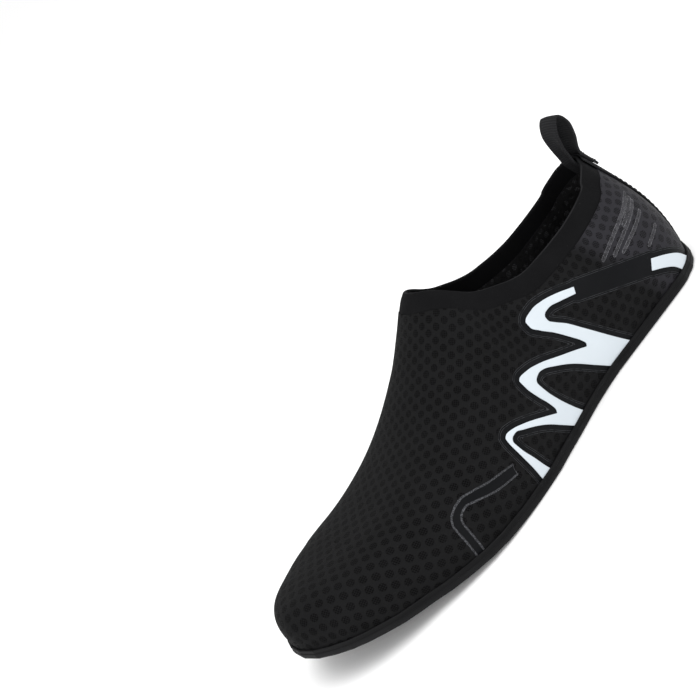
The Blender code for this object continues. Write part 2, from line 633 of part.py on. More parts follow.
def film_cutter(name, runs, side, collection):
    """Prism of an outline seen from the side, reaching from inside the shoe to outside it."""
    near, far = 0.1 * side * BALL_WIDTH, 0.8 * side * BALL_WIDTH
    mesh = bmesh.new()
    face = mesh.faces.new([mesh.verts.new((x, near, z)) for x, z in film_outline(runs)])
    grown = bmesh.ops.extrude_face_region(mesh, geom=[face])["geom"]
    moved = [item for item in grown if isinstance(item, bmesh.types.BMVert)]
    bmesh.ops.translate(mesh, verts=moved, vec=(0, far - near, 0))
    bmesh.ops.recalc_face_normals(mesh, faces=mesh.faces)
    return cutter(link_object(name, mesh, None, collection))


def cutter(tool):
    tool.hide_render = True
    tool.display_type = "WIRE"
    return tool


def build_film(name, runs, side, finish, collection, tools):
    """Film on the upper: a sheet that follows the upper's face, cut to an outline seen from the side."""
    t = collar_columns(BAND_WIDTH + BAND_GAP)
    top = share_below_rim(t, side, BAND_WIDTH + BAND_GAP)
    rows = wall_rows(t, side, top)[:, 1:-1]
    first, last = (ALONG[name] for name in FILM_RANGE)
    used = (t > first) & (t < last)
    sheet = grid_object(name, [wall_grid(t[used], rows[used], side)], finish, collection)
    lift_off(sheet, CLEARANCE)
    thicken(sheet, FILM_WALL, outward=True)
    cut(sheet, film_cutter(name + "_outline", runs, side, tools), "INTERSECT")
    return sheet


def tread_profile(t, side):
    edge = reach_to_edge(t, side)[:, None] - TREAD_BORDER
    zero = np.zeros_like(edge)
    return np.hstack([zero, edge, edge, zero]), np.array([-GROOVE_DEPTH, -GROOVE_DEPTH, GROOVE_DEPTH, GROOVE_DEPTH])


def rest_on_underside(mesh):
    for vert in mesh.verts:
        vert.co.z += float(underside(vert.co.x, vert.co.y))


def lug_centres():
    """Centres of the hexagons, in rows along the shoe, over the whole tread."""
    row_step = LUG_PITCH * math.sqrt(3) / 2
    rows = int(BALL_WIDTH / 2 / row_step) + 1
    for j in range(-rows, rows + 1):
        for i in range(int(LENGTH / LUG_PITCH) + 1):
            yield (i + j % 2 / 2 + 0.5) * LUG_PITCH, j * row_step


def add_prisms(mesh, centres, radius, sides, height):
    for (x, y), size in zip(centres, radius):
        place = Matrix.Translation((x, y, 0))
        bmesh.ops.create_cone(mesh, cap_ends=True, segments=sides, radius1=size, radius2=size, depth=height,
                              matrix=place)


def pod_sizes():
    return [((x * LENGTH, y * BALL_WIDTH), share * LUG_PITCH, ring) for x, y, share, ring in PODS]


def in_tread(x, y):
    """Whether a lug centred here stands in the tread."""
    t = columns()
    outline = np.concatenate([np.stack(plan_point(t, side, reach_to_edge(t, side)), 1)[::side]
                              for side in (1, -1)])
    inside = False
    for (ax, ay), (bx, by) in zip(outline, np.roll(outline, -1, axis=0)):
        if (ay > y) != (by > y) and x < ax + (y - ay) / (by - ay) * (bx - ax):
            inside = not inside
    return inside


def build_groove_cutter(tools):
    """Grooves between the hexagonal lugs, with the round pods left whole."""
    plate = cutter(section_loft("groove_plate", tread_profile, None, tools))
    lugs = bmesh.new()
    centres = [centre for centre in lug_centres() if in_tread(*centre)]
    corner = (LUG_PITCH - GROOVE_WIDTH) / math.sqrt(3)
    add_prisms(lugs, centres, [corner] * len(centres), 6, 4 * GROOVE_DEPTH)
    rest_on_underside(lugs)
    cut(plate, cutter(link_object("lug_prisms", lugs, None, tools)))
    pods = bmesh.new()
    add_prisms(pods, [place for place, _, _ in pod_sizes()], [size for _, size, _ in pod_sizes()], POD_SIDES,
               5 * GROOVE_DEPTH)
    rest_on_underside(pods)
    cut(plate, cutter(link_object("pod_prisms", pods, None, tools)))
    return plate


def build_ring_cutter(tools):
    """Ring grooves in the pods that have one."""
    turn = np.linspace(0, 2 * math.pi, POD_SIDES + 1)[:, None]
    grids = []
    for (x, y), size, ring in pod_sizes():
        if not ring:
            continue
        reach = size * 0.62 + GROOVE_WIDTH / 2 * np.array([-1, 1, 1, -1, -1])
        px, py = x + np.cos(turn) * reach, y + np.sin(turn) * reach
        height = GROOVE_DEPTH * np.array([-1, -1, 1, 1, -1]) + np.zeros_like(px)
        grids.append((np.stack([px, py, underside(px, py) + height], -1), True))
    return cutter(grid_object("pod_rings", grids, None, tools, closed=True))


def build_outsole(finish, collection, tools):
    """Cup-shaped sole with a rib round its side, cut by the tread's grooves."""
    outsole = section_loft("outsole", outsole_profile, finish, collection)
    cut(outsole, build_groove_cutter(tools))
    cut(outsole, build_ring_cutter(tools))
    tidy = outsole.modifiers.new("Flat faces", "DECIMATE")
    tidy.decimate_type = "DISSOLVE"
    tidy.angle_limit = FLAT_ANGLE
    return outsole


def stand_over_origin(pieces, collection):
    """Puts every piece under an empty that moves the middle of their bounding box to the origin."""
    graph = bpy.context.evaluated_depsgraph_get()
    corners = np.array([corner for piece in pieces for corner in piece.evaluated_get(graph).bound_box])
    middle = (corners.min(0) + corners.max(0)) / 2
    shoe = bpy.data.objects.new("shoe", None)
    shoe.location = (-middle[0], -middle[1], 0)
    collection.objects.link(shoe)
    for piece in pieces:
        piece.parent = shoe
    return shoe


def main():
    for old in list(bpy.data.objects):
        bpy.data.objects.remove(old, do_unlink=True)
    shoe = bpy.data.collections.new("water_shoe")
    tools = bpy.data.collections.new("cutters")
    for collection in (shoe, tools):
        bpy.context.scene.collection.children.link(collection)
    rubber = material("sole_rubber", (0.020, 0.020, 0.022), 0.75)
    knit = material("upper_knit", (0.018, 0.018, 0.021), 0.85)
    elastic = material("collar_elastic", (0.012, 0.012, 0.014), 0.8)
    webbing = material("webbing", (0.014, 0.014, 0.016), 0.8)
    film = material("white_film", (0.80, 0.82, 0.85), 0.45)
    foam = material("insole_foam", (0.030, 0.030, 0.033), 0.9)
    pieces = [
        build_outsole(rubber, shoe, tools),
        section_loft("insole", insole_profile, foam, shoe),
        build_upper(knit, shoe),
        build_collar_band(elastic, shoe),
        build_heel_tape(webbing, shoe),
        build_pull_loop(webbing, shoe),
    ]
    for name, side in SIDES.items():
        pieces.append(build_film("zigzag_film_" + name, ZIGZAG, side, film, shoe, tools))
        pieces.append(build_film("heel_flash_" + name, HEEL_FLASH, side, film, shoe, tools))
    bpy.context.view_layer.update()
    stand = stand_over_origin(pieces, shoe)
    for tool in tools.objects:
        tool.parent = stand


main()
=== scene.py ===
"""Scene of a slip-on water shoe for the left foot: a black open knit upper with white film overlays, an elastic
collar band, a ribbed pull loop and a thin rubber sole, standing on a pale floor.

Everything is in metres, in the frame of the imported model: +X to the toe, +Y to the outer side, +Z up.
"""

import logging
import math
from dataclasses import dataclass, field
from enum import Enum
from typing import Iterable, Optional, Sequence, Union

import bmesh
import bpy
import numpy as np
from mathutils import Matrix, Vector
from mathutils.bvhtree import BVHTree
from mathutils.geometry import delaunay_2d_cdt


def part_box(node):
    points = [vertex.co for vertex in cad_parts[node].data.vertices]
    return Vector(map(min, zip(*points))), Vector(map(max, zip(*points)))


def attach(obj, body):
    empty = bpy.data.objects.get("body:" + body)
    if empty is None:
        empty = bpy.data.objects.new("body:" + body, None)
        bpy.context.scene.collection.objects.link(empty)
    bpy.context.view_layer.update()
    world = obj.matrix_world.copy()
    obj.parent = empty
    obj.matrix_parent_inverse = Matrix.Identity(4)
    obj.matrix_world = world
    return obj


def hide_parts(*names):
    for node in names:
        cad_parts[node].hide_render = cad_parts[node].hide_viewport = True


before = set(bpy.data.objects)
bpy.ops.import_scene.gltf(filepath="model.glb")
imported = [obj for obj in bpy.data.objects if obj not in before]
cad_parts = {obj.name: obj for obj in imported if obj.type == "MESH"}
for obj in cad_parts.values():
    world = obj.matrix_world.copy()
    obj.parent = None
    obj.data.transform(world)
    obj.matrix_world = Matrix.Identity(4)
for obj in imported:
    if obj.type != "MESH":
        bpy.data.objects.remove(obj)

Array = np.ndarray
Value = Union[float, bpy.types.NodeSocket]
MM = 0.001
HOOK_REACH = 1.75  # value of the hook attribute on its two lines: less between them, more outside

log = logging.getLogger("water_shoe")


class Side(Enum):
    """The two sides of the shoe, with the sign of Y on each."""

    LATERAL = 1
    MEDIAL = -1


class Surface(Enum):
    """Places on a piece that take their own finish, by material slot."""

    OUTSIDE = 0
    INSIDE = 1


def smooth_curve(xs: Sequence[float], ys: Sequence[float], x: Array, flat_ends: bool = True) -> Array:
    """Values of the smooth curve through some points, which never overshoots them.

    Args:
        xs: Rising places of the points.
        ys: Their values.
        x: Places to read the curve at.
        flat_ends: Whether the curve is level at its two ends.

    Returns:
        The value at each place.
    """
    xs, ys = np.asarray(xs, float), np.asarray(ys, float)
    step = np.diff(xs)
    rate = np.diff(ys) / step
    slope = np.zeros(len(xs))
    steady = rate[:-1] * rate[1:] > 0
    before, after = 2 * step[1:] + step[:-1], step[1:] + 2 * step[:-1]
    with np.errstate(divide="ignore", invalid="ignore"):
        mean = (before + after) / (before / rate[:-1] + after / rate[1:])
    slope[1:-1] = np.where(steady, mean, 0)
    if not flat_ends:
        slope[0], slope[-1] = rate[0], rate[-1]
    x = np.clip(x, xs[0], xs[-1])
    i = np.clip(np.searchsorted(xs, x) - 1, 0, len(step) - 1)
    u = (x - xs[i]) / step[i]
    start = ys[i] * (1 + 2 * u) * (1 - u) ** 2 + step[i] * slope[i] * u * (1 - u) ** 2
    end = ys[i + 1] * u * u * (3 - 2 * u) + step[i] * slope[i + 1] * u * u * (u - 1)
    return start + end


def unit(vectors: Array) -> Array:
    """The vectors at length one."""
    return vectors / np.maximum(np.linalg.norm(vectors, axis=-1, keepdims=True), 1e-12)


def ease(x: Array) -> Array:
    """Smooth step from 0 to 1 over the same range."""
    x = np.clip(x, 0, 1)
    return x * x * (3 - 2 * x)


def distance_to_line(points: Array, line: Array) -> Array:
    """Distance from flat points to a line of straight stretches.

    Args:
        points: Points, n by 2.
        line: Corners of the line, m by 2.

    Returns:
        The distance of each point.
    """
    best = np.full(len(points), np.inf)
    for start, end in zip(line[:-1], line[1:]):
        edge = end - start
        place = np.clip((points - start) @ edge / max(edge @ edge, 1e-18), 0, 1)
        best = np.minimum(best, np.hypot(*(points - start - place[:, None] * edge).T))
    return best


def is_inside(points: Array, outline: Array) -> Array:
    """Whether flat points lie inside a closed outline.

    Args:
        points: Points, n by 2.
        outline: Corners of the outline, m by 2.

    Returns:
        A flag for each point.
    """
    inside = np.zeros(len(points), bool)
    for (ax, ay), (bx, by) in zip(outline, np.roll(outline, -1, axis=0)):
        if ay != by:
            crosses = (ay > points[:, 1]) != (by > points[:, 1])
            inside ^= crosses & (points[:, 0] < ax + (points[:, 1] - ay) / (by - ay) * (bx - ax))
    return inside


@dataclass
class Last:
    """The foot form that the upper is pulled over, with the sole's outline and underside.

    Along is the place in the half outline from the back of the heel round one side to the toe. spine is the
    section's foot on the centre line, a share of length, and turn its direction in plan. edge is the sole's
    outline and rim the collar's, shares of ball_width from the spine, and rise the height of the collar or
    ridge, a share of instep_height. lean and rim_lean are degrees from upright, and the pulls shape the wall,
    as shares of its chord.
    """

    length: float = 0.270
    ball_width: float = 0.095
    instep_height: float = 0.090
    toe_spring: float = 0.016
    heel_roll: float = 0.0015
    arch_lift: float = 0.0025
    sole_floor: float = 0.0036
    lip_height: float = 0.0052
    lip_wall: float = 0.0013
    clearance: float = 0.0003
    columns: tuple = ("along", "spine", "turn", "edge_lat", "edge_med", "rim_lat", "rim_med",
                      "rise_lat", "rise_med", "lean_lat", "lean_med", "rim_lean", "base_pull", "rim_pull")
    sections: dict = field(default_factory=lambda: {
        "heel_back":   (0.000, 0.116, 180, 0.317, 0.317, 0.182, 0.182, 0.790, 0.790, 9, 9, 20, 0.42, 0.36),
        "heel_turn":   (0.055, 0.116, 150, 0.319, 0.319, 0.165, 0.160, 0.785, 0.780, 10, 10, 19, 0.42, 0.36),
        "heel_corner": (0.110, 0.116, 120, 0.327, 0.328, 0.165, 0.152, 0.770, 0.755, 11, 10, 18, 0.42, 0.36),
        "heel_side":   (0.165, 0.116, 90, 0.333, 0.334, 0.186, 0.165, 0.735, 0.720, 11, 9, 17, 0.42, 0.36),
        "ankle":       (0.255, 0.211, 90, 0.338, 0.322, 0.220, 0.190, 0.688, 0.690, 9, 5, 15, 0.42, 0.38),
        "waist":       (0.345, 0.304, 90, 0.340, 0.295, 0.232, 0.192, 0.698, 0.725, 9, 4, 18, 0.42, 0.40),
        "throat_side": (0.430, 0.381, 90, 0.366, 0.296, 0.225, 0.188, 0.790, 0.825, 9, 4, 30, 0.43, 0.40),
        "throat_turn": (0.485, 0.424, 90, 0.392, 0.304, 0.212, 0.185, 0.885, 0.910, 10, 5, 34, 0.44, 0.36),
        "throat":      (0.545, 0.461, 90, 0.418, 0.322, 0.205, 0.185, 1.000, 1.000, 10, 6, 40, 0.45, 0.245),
        "instep":      (0.572, 0.498, 90, 0.440, 0.347, 0.000, 0.000, 0.897, 0.897, 10, 7, 90, 0.46, 0.31),
        "vamp":        (0.610, 0.551, 90, 0.475, 0.388, 0.000, 0.000, 0.762, 0.762, 10, 8, 90, 0.48, 0.36),
        "ball":        (0.730, 0.687, 90, 0.504, 0.464, 0.000, 0.000, 0.515, 0.515, 8, 10, 90, 0.52, 0.52),
        "toe_side":    (0.820, 0.785, 90, 0.465, 0.480, 0.000, 0.000, 0.440, 0.440, 7, 9, 90, 0.54, 0.55),
        "toe_start":   (0.865, 0.834, 90, 0.416, 0.462, 0.000, 0.000, 0.430, 0.430, 6, 8, 90, 0.55, 0.56),
        "toe_turn":    (0.910, 0.834, 60, 0.396, 0.444, 0.000, 0.000, 0.430, 0.430, 5, 7, 90, 0.55, 0.56),
        "toe_corner":  (0.955, 0.834, 30, 0.436, 0.470, 0.000, 0.000, 0.430, 0.430, 5, 6, 90, 0.55, 0.56),
        "toe":         (1.000, 0.834, 0, 0.483, 0.483, 0.000, 0.000, 0.430, 0.430, 5, 5, 90, 0.55, 0.56),
    })
    vamp: dict = field(default_factory=lambda: {"throat_side": (1.045, 0.135, 0.212),
                                                "throat_turn": (1.040, 0.160, 0.228)})
    spine_bend: tuple = ((0.0, 0.0), (0.116, 0.0), (0.45, 0.0), (0.69, -0.01), (0.834, -0.03), (1.0, -0.03))
    spring_start: float = 0.59
    roll_end: float = 0.07
    arch_middle: float = 0.40
    arch_reach: float = 0.19
    arch_side: float = 0.30
    shift: Array = field(default_factory=lambda: np.zeros(3))

    def __post_init__(self) -> None:
        """Reads the table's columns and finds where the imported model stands."""
        self.table = {name: np.array([row[i] for row in self.sections.values()], float)
                      for i, name in enumerate(self.columns)}
        self.along = dict(zip(self.sections, self.table["along"]))
        self.throat_row = list(self.sections).index("throat")
        t = np.linspace(0, 1, 801)
        rim = np.concatenate([np.stack(self.plan_point(t, side, self.reach_to_edge(t, side)), 1)
                              for side in Side])
        low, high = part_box("outsole")
        middle = (rim.min(0) + rim.max(0)) / 2
        self.shift = np.array([middle[0] - (low[0] + high[0]) / 2, middle[1] - (low[1] + high[1]) / 2, 0])

    def section_value(self, name: str, t: Array) -> Array:
        """A column of the table, read at places along the outline."""
        return smooth_curve(self.table["along"], self.table[name], t, flat_ends=name not in ("along", "turn"))

    def vamp_value(self, column: int, onward: str, t: Array) -> Array:
        """A value of the closed section, over the collar's front and past it.

        Args:
            column: Place of the value in the vamp's rows.
            onward: Column of the table that gives it past the throat.
            t: Places along the outline.

        Returns:
            The value at each place.
        """
        along = [self.along[row] for row in self.vamp] + list(self.table["along"][self.throat_row:])
        values = [row[column] for row in self.vamp.values()] + list(self.table[onward][self.throat_row:])
        return smooth_curve(along, values, t, flat_ends=False)

    def rim_share(self, t: Array) -> Array:
        """1 beside the foot, closing to 0 round the front of the collar."""
        front = self.table["spine"][self.throat_row]
        start = self.section_value("spine", self.along["throat_side"])
        u = np.clip((self.section_value("spine", t) - start) / (front - start), 0, 1)
        return np.sqrt(1 - u * u)

    def spine_point(self, t: Array) -> tuple[Array, Array]:
        """Foot of the sections on the bent centre line."""
        x = self.section_value("spine", t)
        return x * self.length, smooth_curve(*zip(*self.spine_bend), x) * self.ball_width

    def direction(self, t: Array, side: Side) -> tuple[Array, Array]:
        """Direction of the sections in plan."""
        turn = np.radians(self.section_value("turn", t))
        return np.cos(turn), side.value * np.sin(turn)

    def reach_to_edge(self, t: Array, side: Side) -> Array:
        """Distance from the spine to the sole's edge."""
        return self.section_value("edge_lat" if side is Side.LATERAL else "edge_med", t) * self.ball_width

    def seat_inset(self, t: Array, side: Side) -> Array:
        """How far the foot of the upper stands in from the sole's edge."""
        lean = np.radians(self.section_value("lean_lat" if side is Side.LATERAL else "lean_med", t))
        return self.lip_wall + self.clearance + (self.lip_height - self.sole_floor) * np.tan(lean)

    def underside(self, x: Array, y: Array) -> Array:
        """Height of the sole's underside over the floor."""
        s = x / self.length
        spring = self.toe_spring * (np.clip(s - self.spring_start, 0, None) / (1 - self.spring_start)) ** 2
        roll = self.heel_roll * (np.clip(self.roll_end - s, 0, None) / self.roll_end) ** 2
        along = np.clip(1 - ((s - self.arch_middle) / self.arch_reach) ** 2, 0, None) ** 2
        inward = np.clip(-y / (self.arch_side * self.ball_width), 0, 1)
        return spring + roll + self.arch_lift * along * inward * inward * (3 - 2 * inward)

    def plan_point(self, t: Array, side: Side, reach: Array) -> tuple[Array, Array]:
        """Point in plan at some reach from the spine."""
        x, y = self.spine_point(t)
        dx, dy = self.direction(t, side)
        return x + dx * reach, y + dy * reach

    def ridge_slope(self) -> float:
        """Slope of the ridge where the toe's sections fan out."""
        behind = self.along["toe_start"] - np.array([0.004, 0.002])
        height = self.vamp_value(0, "rise_lat", behind) * self.instep_height
        x = self.spine_point(behind)[0]
        return float((height[1] - height[0]) / (x[1] - x[0]))

    @staticmethod
    def bezier(knots: Array, v: Array) -> Array:
        """Points of the curves with these knots."""
        weights = ((1 - v) ** 3, 3 * v * (1 - v) ** 2, 3 * v * v * (1 - v), v ** 3)
        return sum(weight * knot for weight, knot in zip(weights, knots))

    def knots_to(self, t: Array, side: Side, top: Array, height: Array, rim_lean: Array,
                 rim_pull: Array) -> Array:
        """Knots of the sections' curves from the sole to a top.

        Args:
            t: Places along the outline.
            side: Side of the shoe.
            top: Reach of the top from the spine.
            height: Height of the top.
            rim_lean: Lean of the curve at its top, in degrees from upright.
            rim_pull: Pull at the top, a share of the chord.

        Returns:
            Four knots of reach and height for each place.
        """
        which = "lat" if side is Side.LATERAL else "med"
        base = self.reach_to_edge(t, side) - self.seat_inset(t, side)
        base_height = self.underside(*self.plan_point(t, side, base)) + self.sole_floor + self.clearance
        chord = np.hypot(base - top, height - base_height)
        lean, rim_lean = np.radians(self.section_value("lean_" + which, t)), np.radians(rim_lean)
        base_pull, rim_pull = self.section_value("base_pull", t) * chord, rim_pull * chord
        fan = np.cos(np.radians(self.section_value("turn", t))) * (t > self.along["toe_start"])
        return np.array([
            (base, base_height),
            (base + np.sin(lean) * base_pull, base_height + np.cos(lean) * base_pull),
            (top + np.sin(rim_lean) * rim_pull,
             height - np.cos(rim_lean) * rim_pull + self.ridge_slope() * fan * rim_pull),
            (top, height),
        ])

    def cut_at_reach(self, knots: Array, reach: Array) -> Array:
        """The part of each curve up to the place where it comes this near the spine."""
        low, high = np.full(len(reach), 0.4), np.ones(len(reach))
        for _ in range(40):
            middle = (low + high) / 2
            outside = self.bezier(knots[:, 0], middle) > reach
            low, high = np.where(outside, middle, low), np.where(outside, high, middle)
        first, second, third = (here + (after - here) * high for here, after in zip(knots, knots[1:]))
        inner, outer = first + (second - first) * high, second + (third - second) * high
        return np.array([knots[0], first, inner, inner + (outer - inner) * high])

    def wall_knots(self, t: Array, side: Side) -> Array:
        """Knots of the wall's sections, open at the collar and closed past the throat."""
        which = "lat" if side is Side.LATERAL else "med"
        rim = self.section_value("rim_" + which, t) * self.ball_width * self.rim_share(t)
        height = self.vamp_value(0, "rise_lat", t) * self.instep_height
        pull = self.vamp_value(1 if side is Side.LATERAL else 2, "rim_pull", t)
        whole = self.knots_to(t, side, 0 * t, height, 90, pull)
        rise = self.section_value("rise_" + which, t) * self.instep_height
        collar = self.knots_to(t, side, rim, rise, self.section_value("rim_lean", t),
                               self.section_value("rim_pull", t))
        start, end = self.along["throat_side"], self.along["throat_turn"]
        cut_open = np.where(t < self.along["throat"], self.cut_at_reach(whole, rim), whole)
        return collar + (cut_open - collar) * ease((t - start) / (end - start))

    def wall_points(self, t: Array, v: Array, side: Side) -> Array:
        """Points of the upper's outer face.

        Args:
            t: Places along the outline, n of them.
            v: Shares of the wall's height, m, or n by m.
            side: Side of the shoe.

        Returns:
            Points, n by m by 3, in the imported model's frame.
        """
        t = np.atleast_1d(np.asarray(t, float))
        v = np.broadcast_to(v, (len(t), np.shape(v)[-1]))
        reach, z = self.bezier(self.wall_knots(t, side)[..., None], v)
        x, y = self.spine_point(t)
        dx, dy = self.direction(t, side)
        points = np.stack([x[:, None] + dx[:, None] * reach, y[:, None] + dy[:, None] * reach, z], -1)
        return points - self.shift

    def wall_normals(self, t: Array, v: Array, side: Side) -> Array:
        """Outward directions at the places that wall_points gives."""
        step = 0.002
        t = np.atleast_1d(t)
        v = np.broadcast_to(v, (len(t), np.shape(v)[-1]))
        ahead, behind = np.minimum(t + step, 1), np.maximum(t - step, 0)
        under_ridge = np.minimum(v, 1 - step)
        across = self.wall_points(ahead, under_ridge, side) - self.wall_points(behind, under_ridge, side)
        rise = (self.wall_points(t, np.minimum(v + step, 1), side)
                - self.wall_points(t, np.maximum(v - step, 0), side))
        normal = np.cross(rise, across) * side.value
        on_middle = ((t <= 0) | (t >= 1))[:, None] | (v >= 1) & (t >= self.along["throat"])[:, None]
        normal[on_middle, 1] = 0
        return unit(normal)

    def rim_line(self) -> Array:
        """Closed line round the collar's rim, from the throat by the outer side and the heel, evenly spaced."""
        t = np.unique(np.concatenate([np.linspace(0, self.along["throat"], 400),
                                      self.along["throat"] * np.sin(np.linspace(0, math.pi / 2, 200))]))
        lateral, medial = (self.wall_points(t, np.ones(1), side)[:, 0] for side in Side)
        line = np.concatenate([lateral[::-1], medial[1:]])
        place = np.append(0, np.cumsum(np.linalg.norm(np.diff(line, axis=0), axis=1)))
        even = np.linspace(0, place[-1], 481)[:-1]
        return np.stack([np.interp(even, place, line[:, i]) for i in range(3)], 1)

    def distance_to_rim(self, points: Array) -> Array:
        """Distance from each point of an n by m grid to the collar's rim."""
        rim = self.rim_line()[::2]
        flat = points.reshape(-1, 3)
        best = np.full(len(flat), np.inf)
        for start, end in zip(rim, np.roll(rim, -1, axis=0)):
            edge = end - start
            place = np.clip((flat - start) @ edge / (edge @ edge), 0, 1)
            best = np.minimum(best, np.linalg.norm(flat - start - place[:, None] * edge, axis=1))
        return best.reshape(points.shape[:-1])

    def share_below_rim(self, t: Array, side: Side, distance: float) -> Array:
        """Share of each column's height at this distance from the rim, or 1 past the collar's reach."""
        shares = np.linspace(0.4, 1, 121)
        away = self.distance_to_rim(self.wall_points(t, shares, side))
        row = np.arange(len(t))
        beyond = away > distance
        last = np.where(beyond.any(1), len(shares) - 1 - beyond[:, ::-1].argmax(1), 0)
        after = np.minimum(last + 1, len(shares) - 1)
        fall = np.where(after > last, away[row, last] - away[row, after], 1)
        part = np.clip((away[row, last] - distance) / fall, 0, 1)
        return np.where(after > last, shares[last] + part * (shares[after] - shares[last]), 1.0)

    def front_of(self, distance: float) -> float:
        """Place along the outline where the ridge is this far from the rim."""
        t = np.linspace(self.along["throat"], self.along["vamp"], 80)
        ridge = self.wall_points(t, np.ones(1), Side.LATERAL)
        return float(np.interp(distance, self.distance_to_rim(ridge)[:, 0], t))

    def even_columns(self, count: int, distance: float) -> Array:
        """Places evenly spaced round the shoe, closing up where the line at this distance meets the ridge.

        Args:
            count: About how many.
            distance: Distance of the line from the rim.

        Returns:
            Places along the outline.
        """
        fine = np.linspace(0, 1, 2001)
        line = self.wall_points(fine, np.array([0.3]), Side.LATERAL)[:, 0]
        arc = np.append(0, np.cumsum(np.linalg.norm(np.diff(line, axis=0), axis=1)))
        t = np.interp(np.linspace(0, arc[-1], count), arc, fine)
        throat, front = self.along["throat"], self.front_of(distance)
        near = throat + (front - throat) * np.sin(np.linspace(0, math.pi / 2, count // 10))
        away = np.where(t < throat, throat - t, t - front)
        return np.sort(np.concatenate([t[away > 0.5 / count], near]))


class Graph:
    """Adds nodes to the tree of a material or a node group and wires them up."""

    def __init__(self, tree: bpy.types.NodeTree) -> None:
        """Takes the tree."""
        self.tree = tree

    def node(self, kind: str, **settings: object) -> bpy.types.Node:
        """A new node with these settings."""
        made = self.tree.nodes.new(kind)
        for name, value in settings.items():
            setattr(made, name, value)
        return made

    def feed(self, socket: bpy.types.NodeSocket, value: object) -> None:
        """Links a socket to a value, or sets it."""
        if isinstance(value, bpy.types.NodeSocket):
            self.tree.links.new(value, socket)
        else:
            socket.default_value = value

    def math(self, operation: str, *values: Value, clamp: bool = False) -> bpy.types.NodeSocket:
        """Result of one sum on numbers."""
        made = self.node("ShaderNodeMath", operation=operation, use_clamp=clamp)
        for socket, value in zip(made.inputs, values):
            self.feed(socket, value)
        return made.outputs[0]

    def vector(self, operation: str, *values: object) -> bpy.types.NodeSocket:
        """Result of one sum on vectors: a length where that is what the sum gives."""
        made = self.node("ShaderNodeVectorMath", operation=operation)
        for socket, value in zip(made.inputs, values):
            self.feed(socket, value)
        return made.outputs["Value" if operation in ("LENGTH", "DISTANCE", "DOT_PRODUCT") else "Vector"]

    def span(self, value: Value, start: float, end: float, low: float = 0.0,
             high: float = 1.0) -> bpy.types.NodeSocket:
        """Smooth change from low to high as the value goes from start to end."""
        made = self.node("ShaderNodeMapRange", interpolation_type="SMOOTHSTEP")
        for name, number in (("Value", value), ("From Min", start), ("From Max", end), ("To Min", low),
                             ("To Max", high)):
            self.feed(made.inputs[name], number)
        return made.outputs[0]

    def mix(self, factor: Value, first: object, second: object) -> bpy.types.NodeSocket:
        """Colour between two colours."""
        made = self.node("ShaderNodeMix", data_type="RGBA")
        for socket, value in ((made.inputs[0], factor), (made.inputs[6], first), (made.inputs[7], second)):
            self.feed(socket, (*value, 1) if isinstance(value, tuple) and len(value) == 3 else value)
        return made.outputs[2]

    def noise(self, vector: Optional[bpy.types.NodeSocket], scale: float, detail: float = 2.0,
              roughness: float = 0.5) -> bpy.types.NodeSocket:
        """Cloudy noise from 0 to 1."""
        made = self.node("ShaderNodeTexNoise")
        self.feed(made.inputs["Scale"], scale)
        self.feed(made.inputs["Detail"], detail)
        self.feed(made.inputs["Roughness"], roughness)
        if vector is not None:
            self.feed(made.inputs["Vector"], vector)
        return made.outputs["Fac"]

    def attribute(self, name: str) -> bpy.types.NodeSocket:
        """A number that the piece carries at its points."""
        return self.node("ShaderNodeAttribute", attribute_name=name).outputs["Fac"]

    def place(self, kind: str = "Object") -> bpy.types.NodeSocket:
        """The piece's Object coordinates or its UV map."""
        return self.node("ShaderNodeTexCoord").outputs[kind]

    def cloth_place(self) -> bpy.types.NodeSocket:
        """The piece's UV map in millimetres."""
        return self.vector("MULTIPLY", self.place("UV"), (1 / MM, 1 / MM, 0.0))

    def group(self, tree: bpy.types.NodeTree, **values: object) -> bpy.types.Node:
        """A node group with these values, named with _ for a space."""
        made = self.node("ShaderNodeGroup", node_tree=tree)
        for name, value in values.items():
            self.feed(made.inputs[name.replace("_", " ").capitalize()], value)
        return made


def new_group(name: str, inputs: dict[str, tuple[str, object]], outputs: Sequence[str]
              ) -> tuple[Graph, bpy.types.Node, bpy.types.Node]:
    """Starts a shader node group.

    Args:
        name: Name of the group.
        inputs: Kind of socket and first value, by name.
        outputs: Names of the numbers that it puts out.

    Returns:
        Its graph, its input node and its output node.
    """
    tree = bpy.data.node_groups.new(name, "ShaderNodeTree")
    for title, (kind, value) in inputs.items():
        socket = tree.interface.new_socket(title, in_out="INPUT", socket_type="NodeSocket" + kind)
        if value is not None:
            socket.default_value = value
    for title in outputs:
        tree.interface.new_socket(title, in_out="OUTPUT", socket_type="NodeSocketFloat")
    graph = Graph(tree)
    return graph, graph.node("NodeGroupInput"), graph.node("NodeGroupOutput")


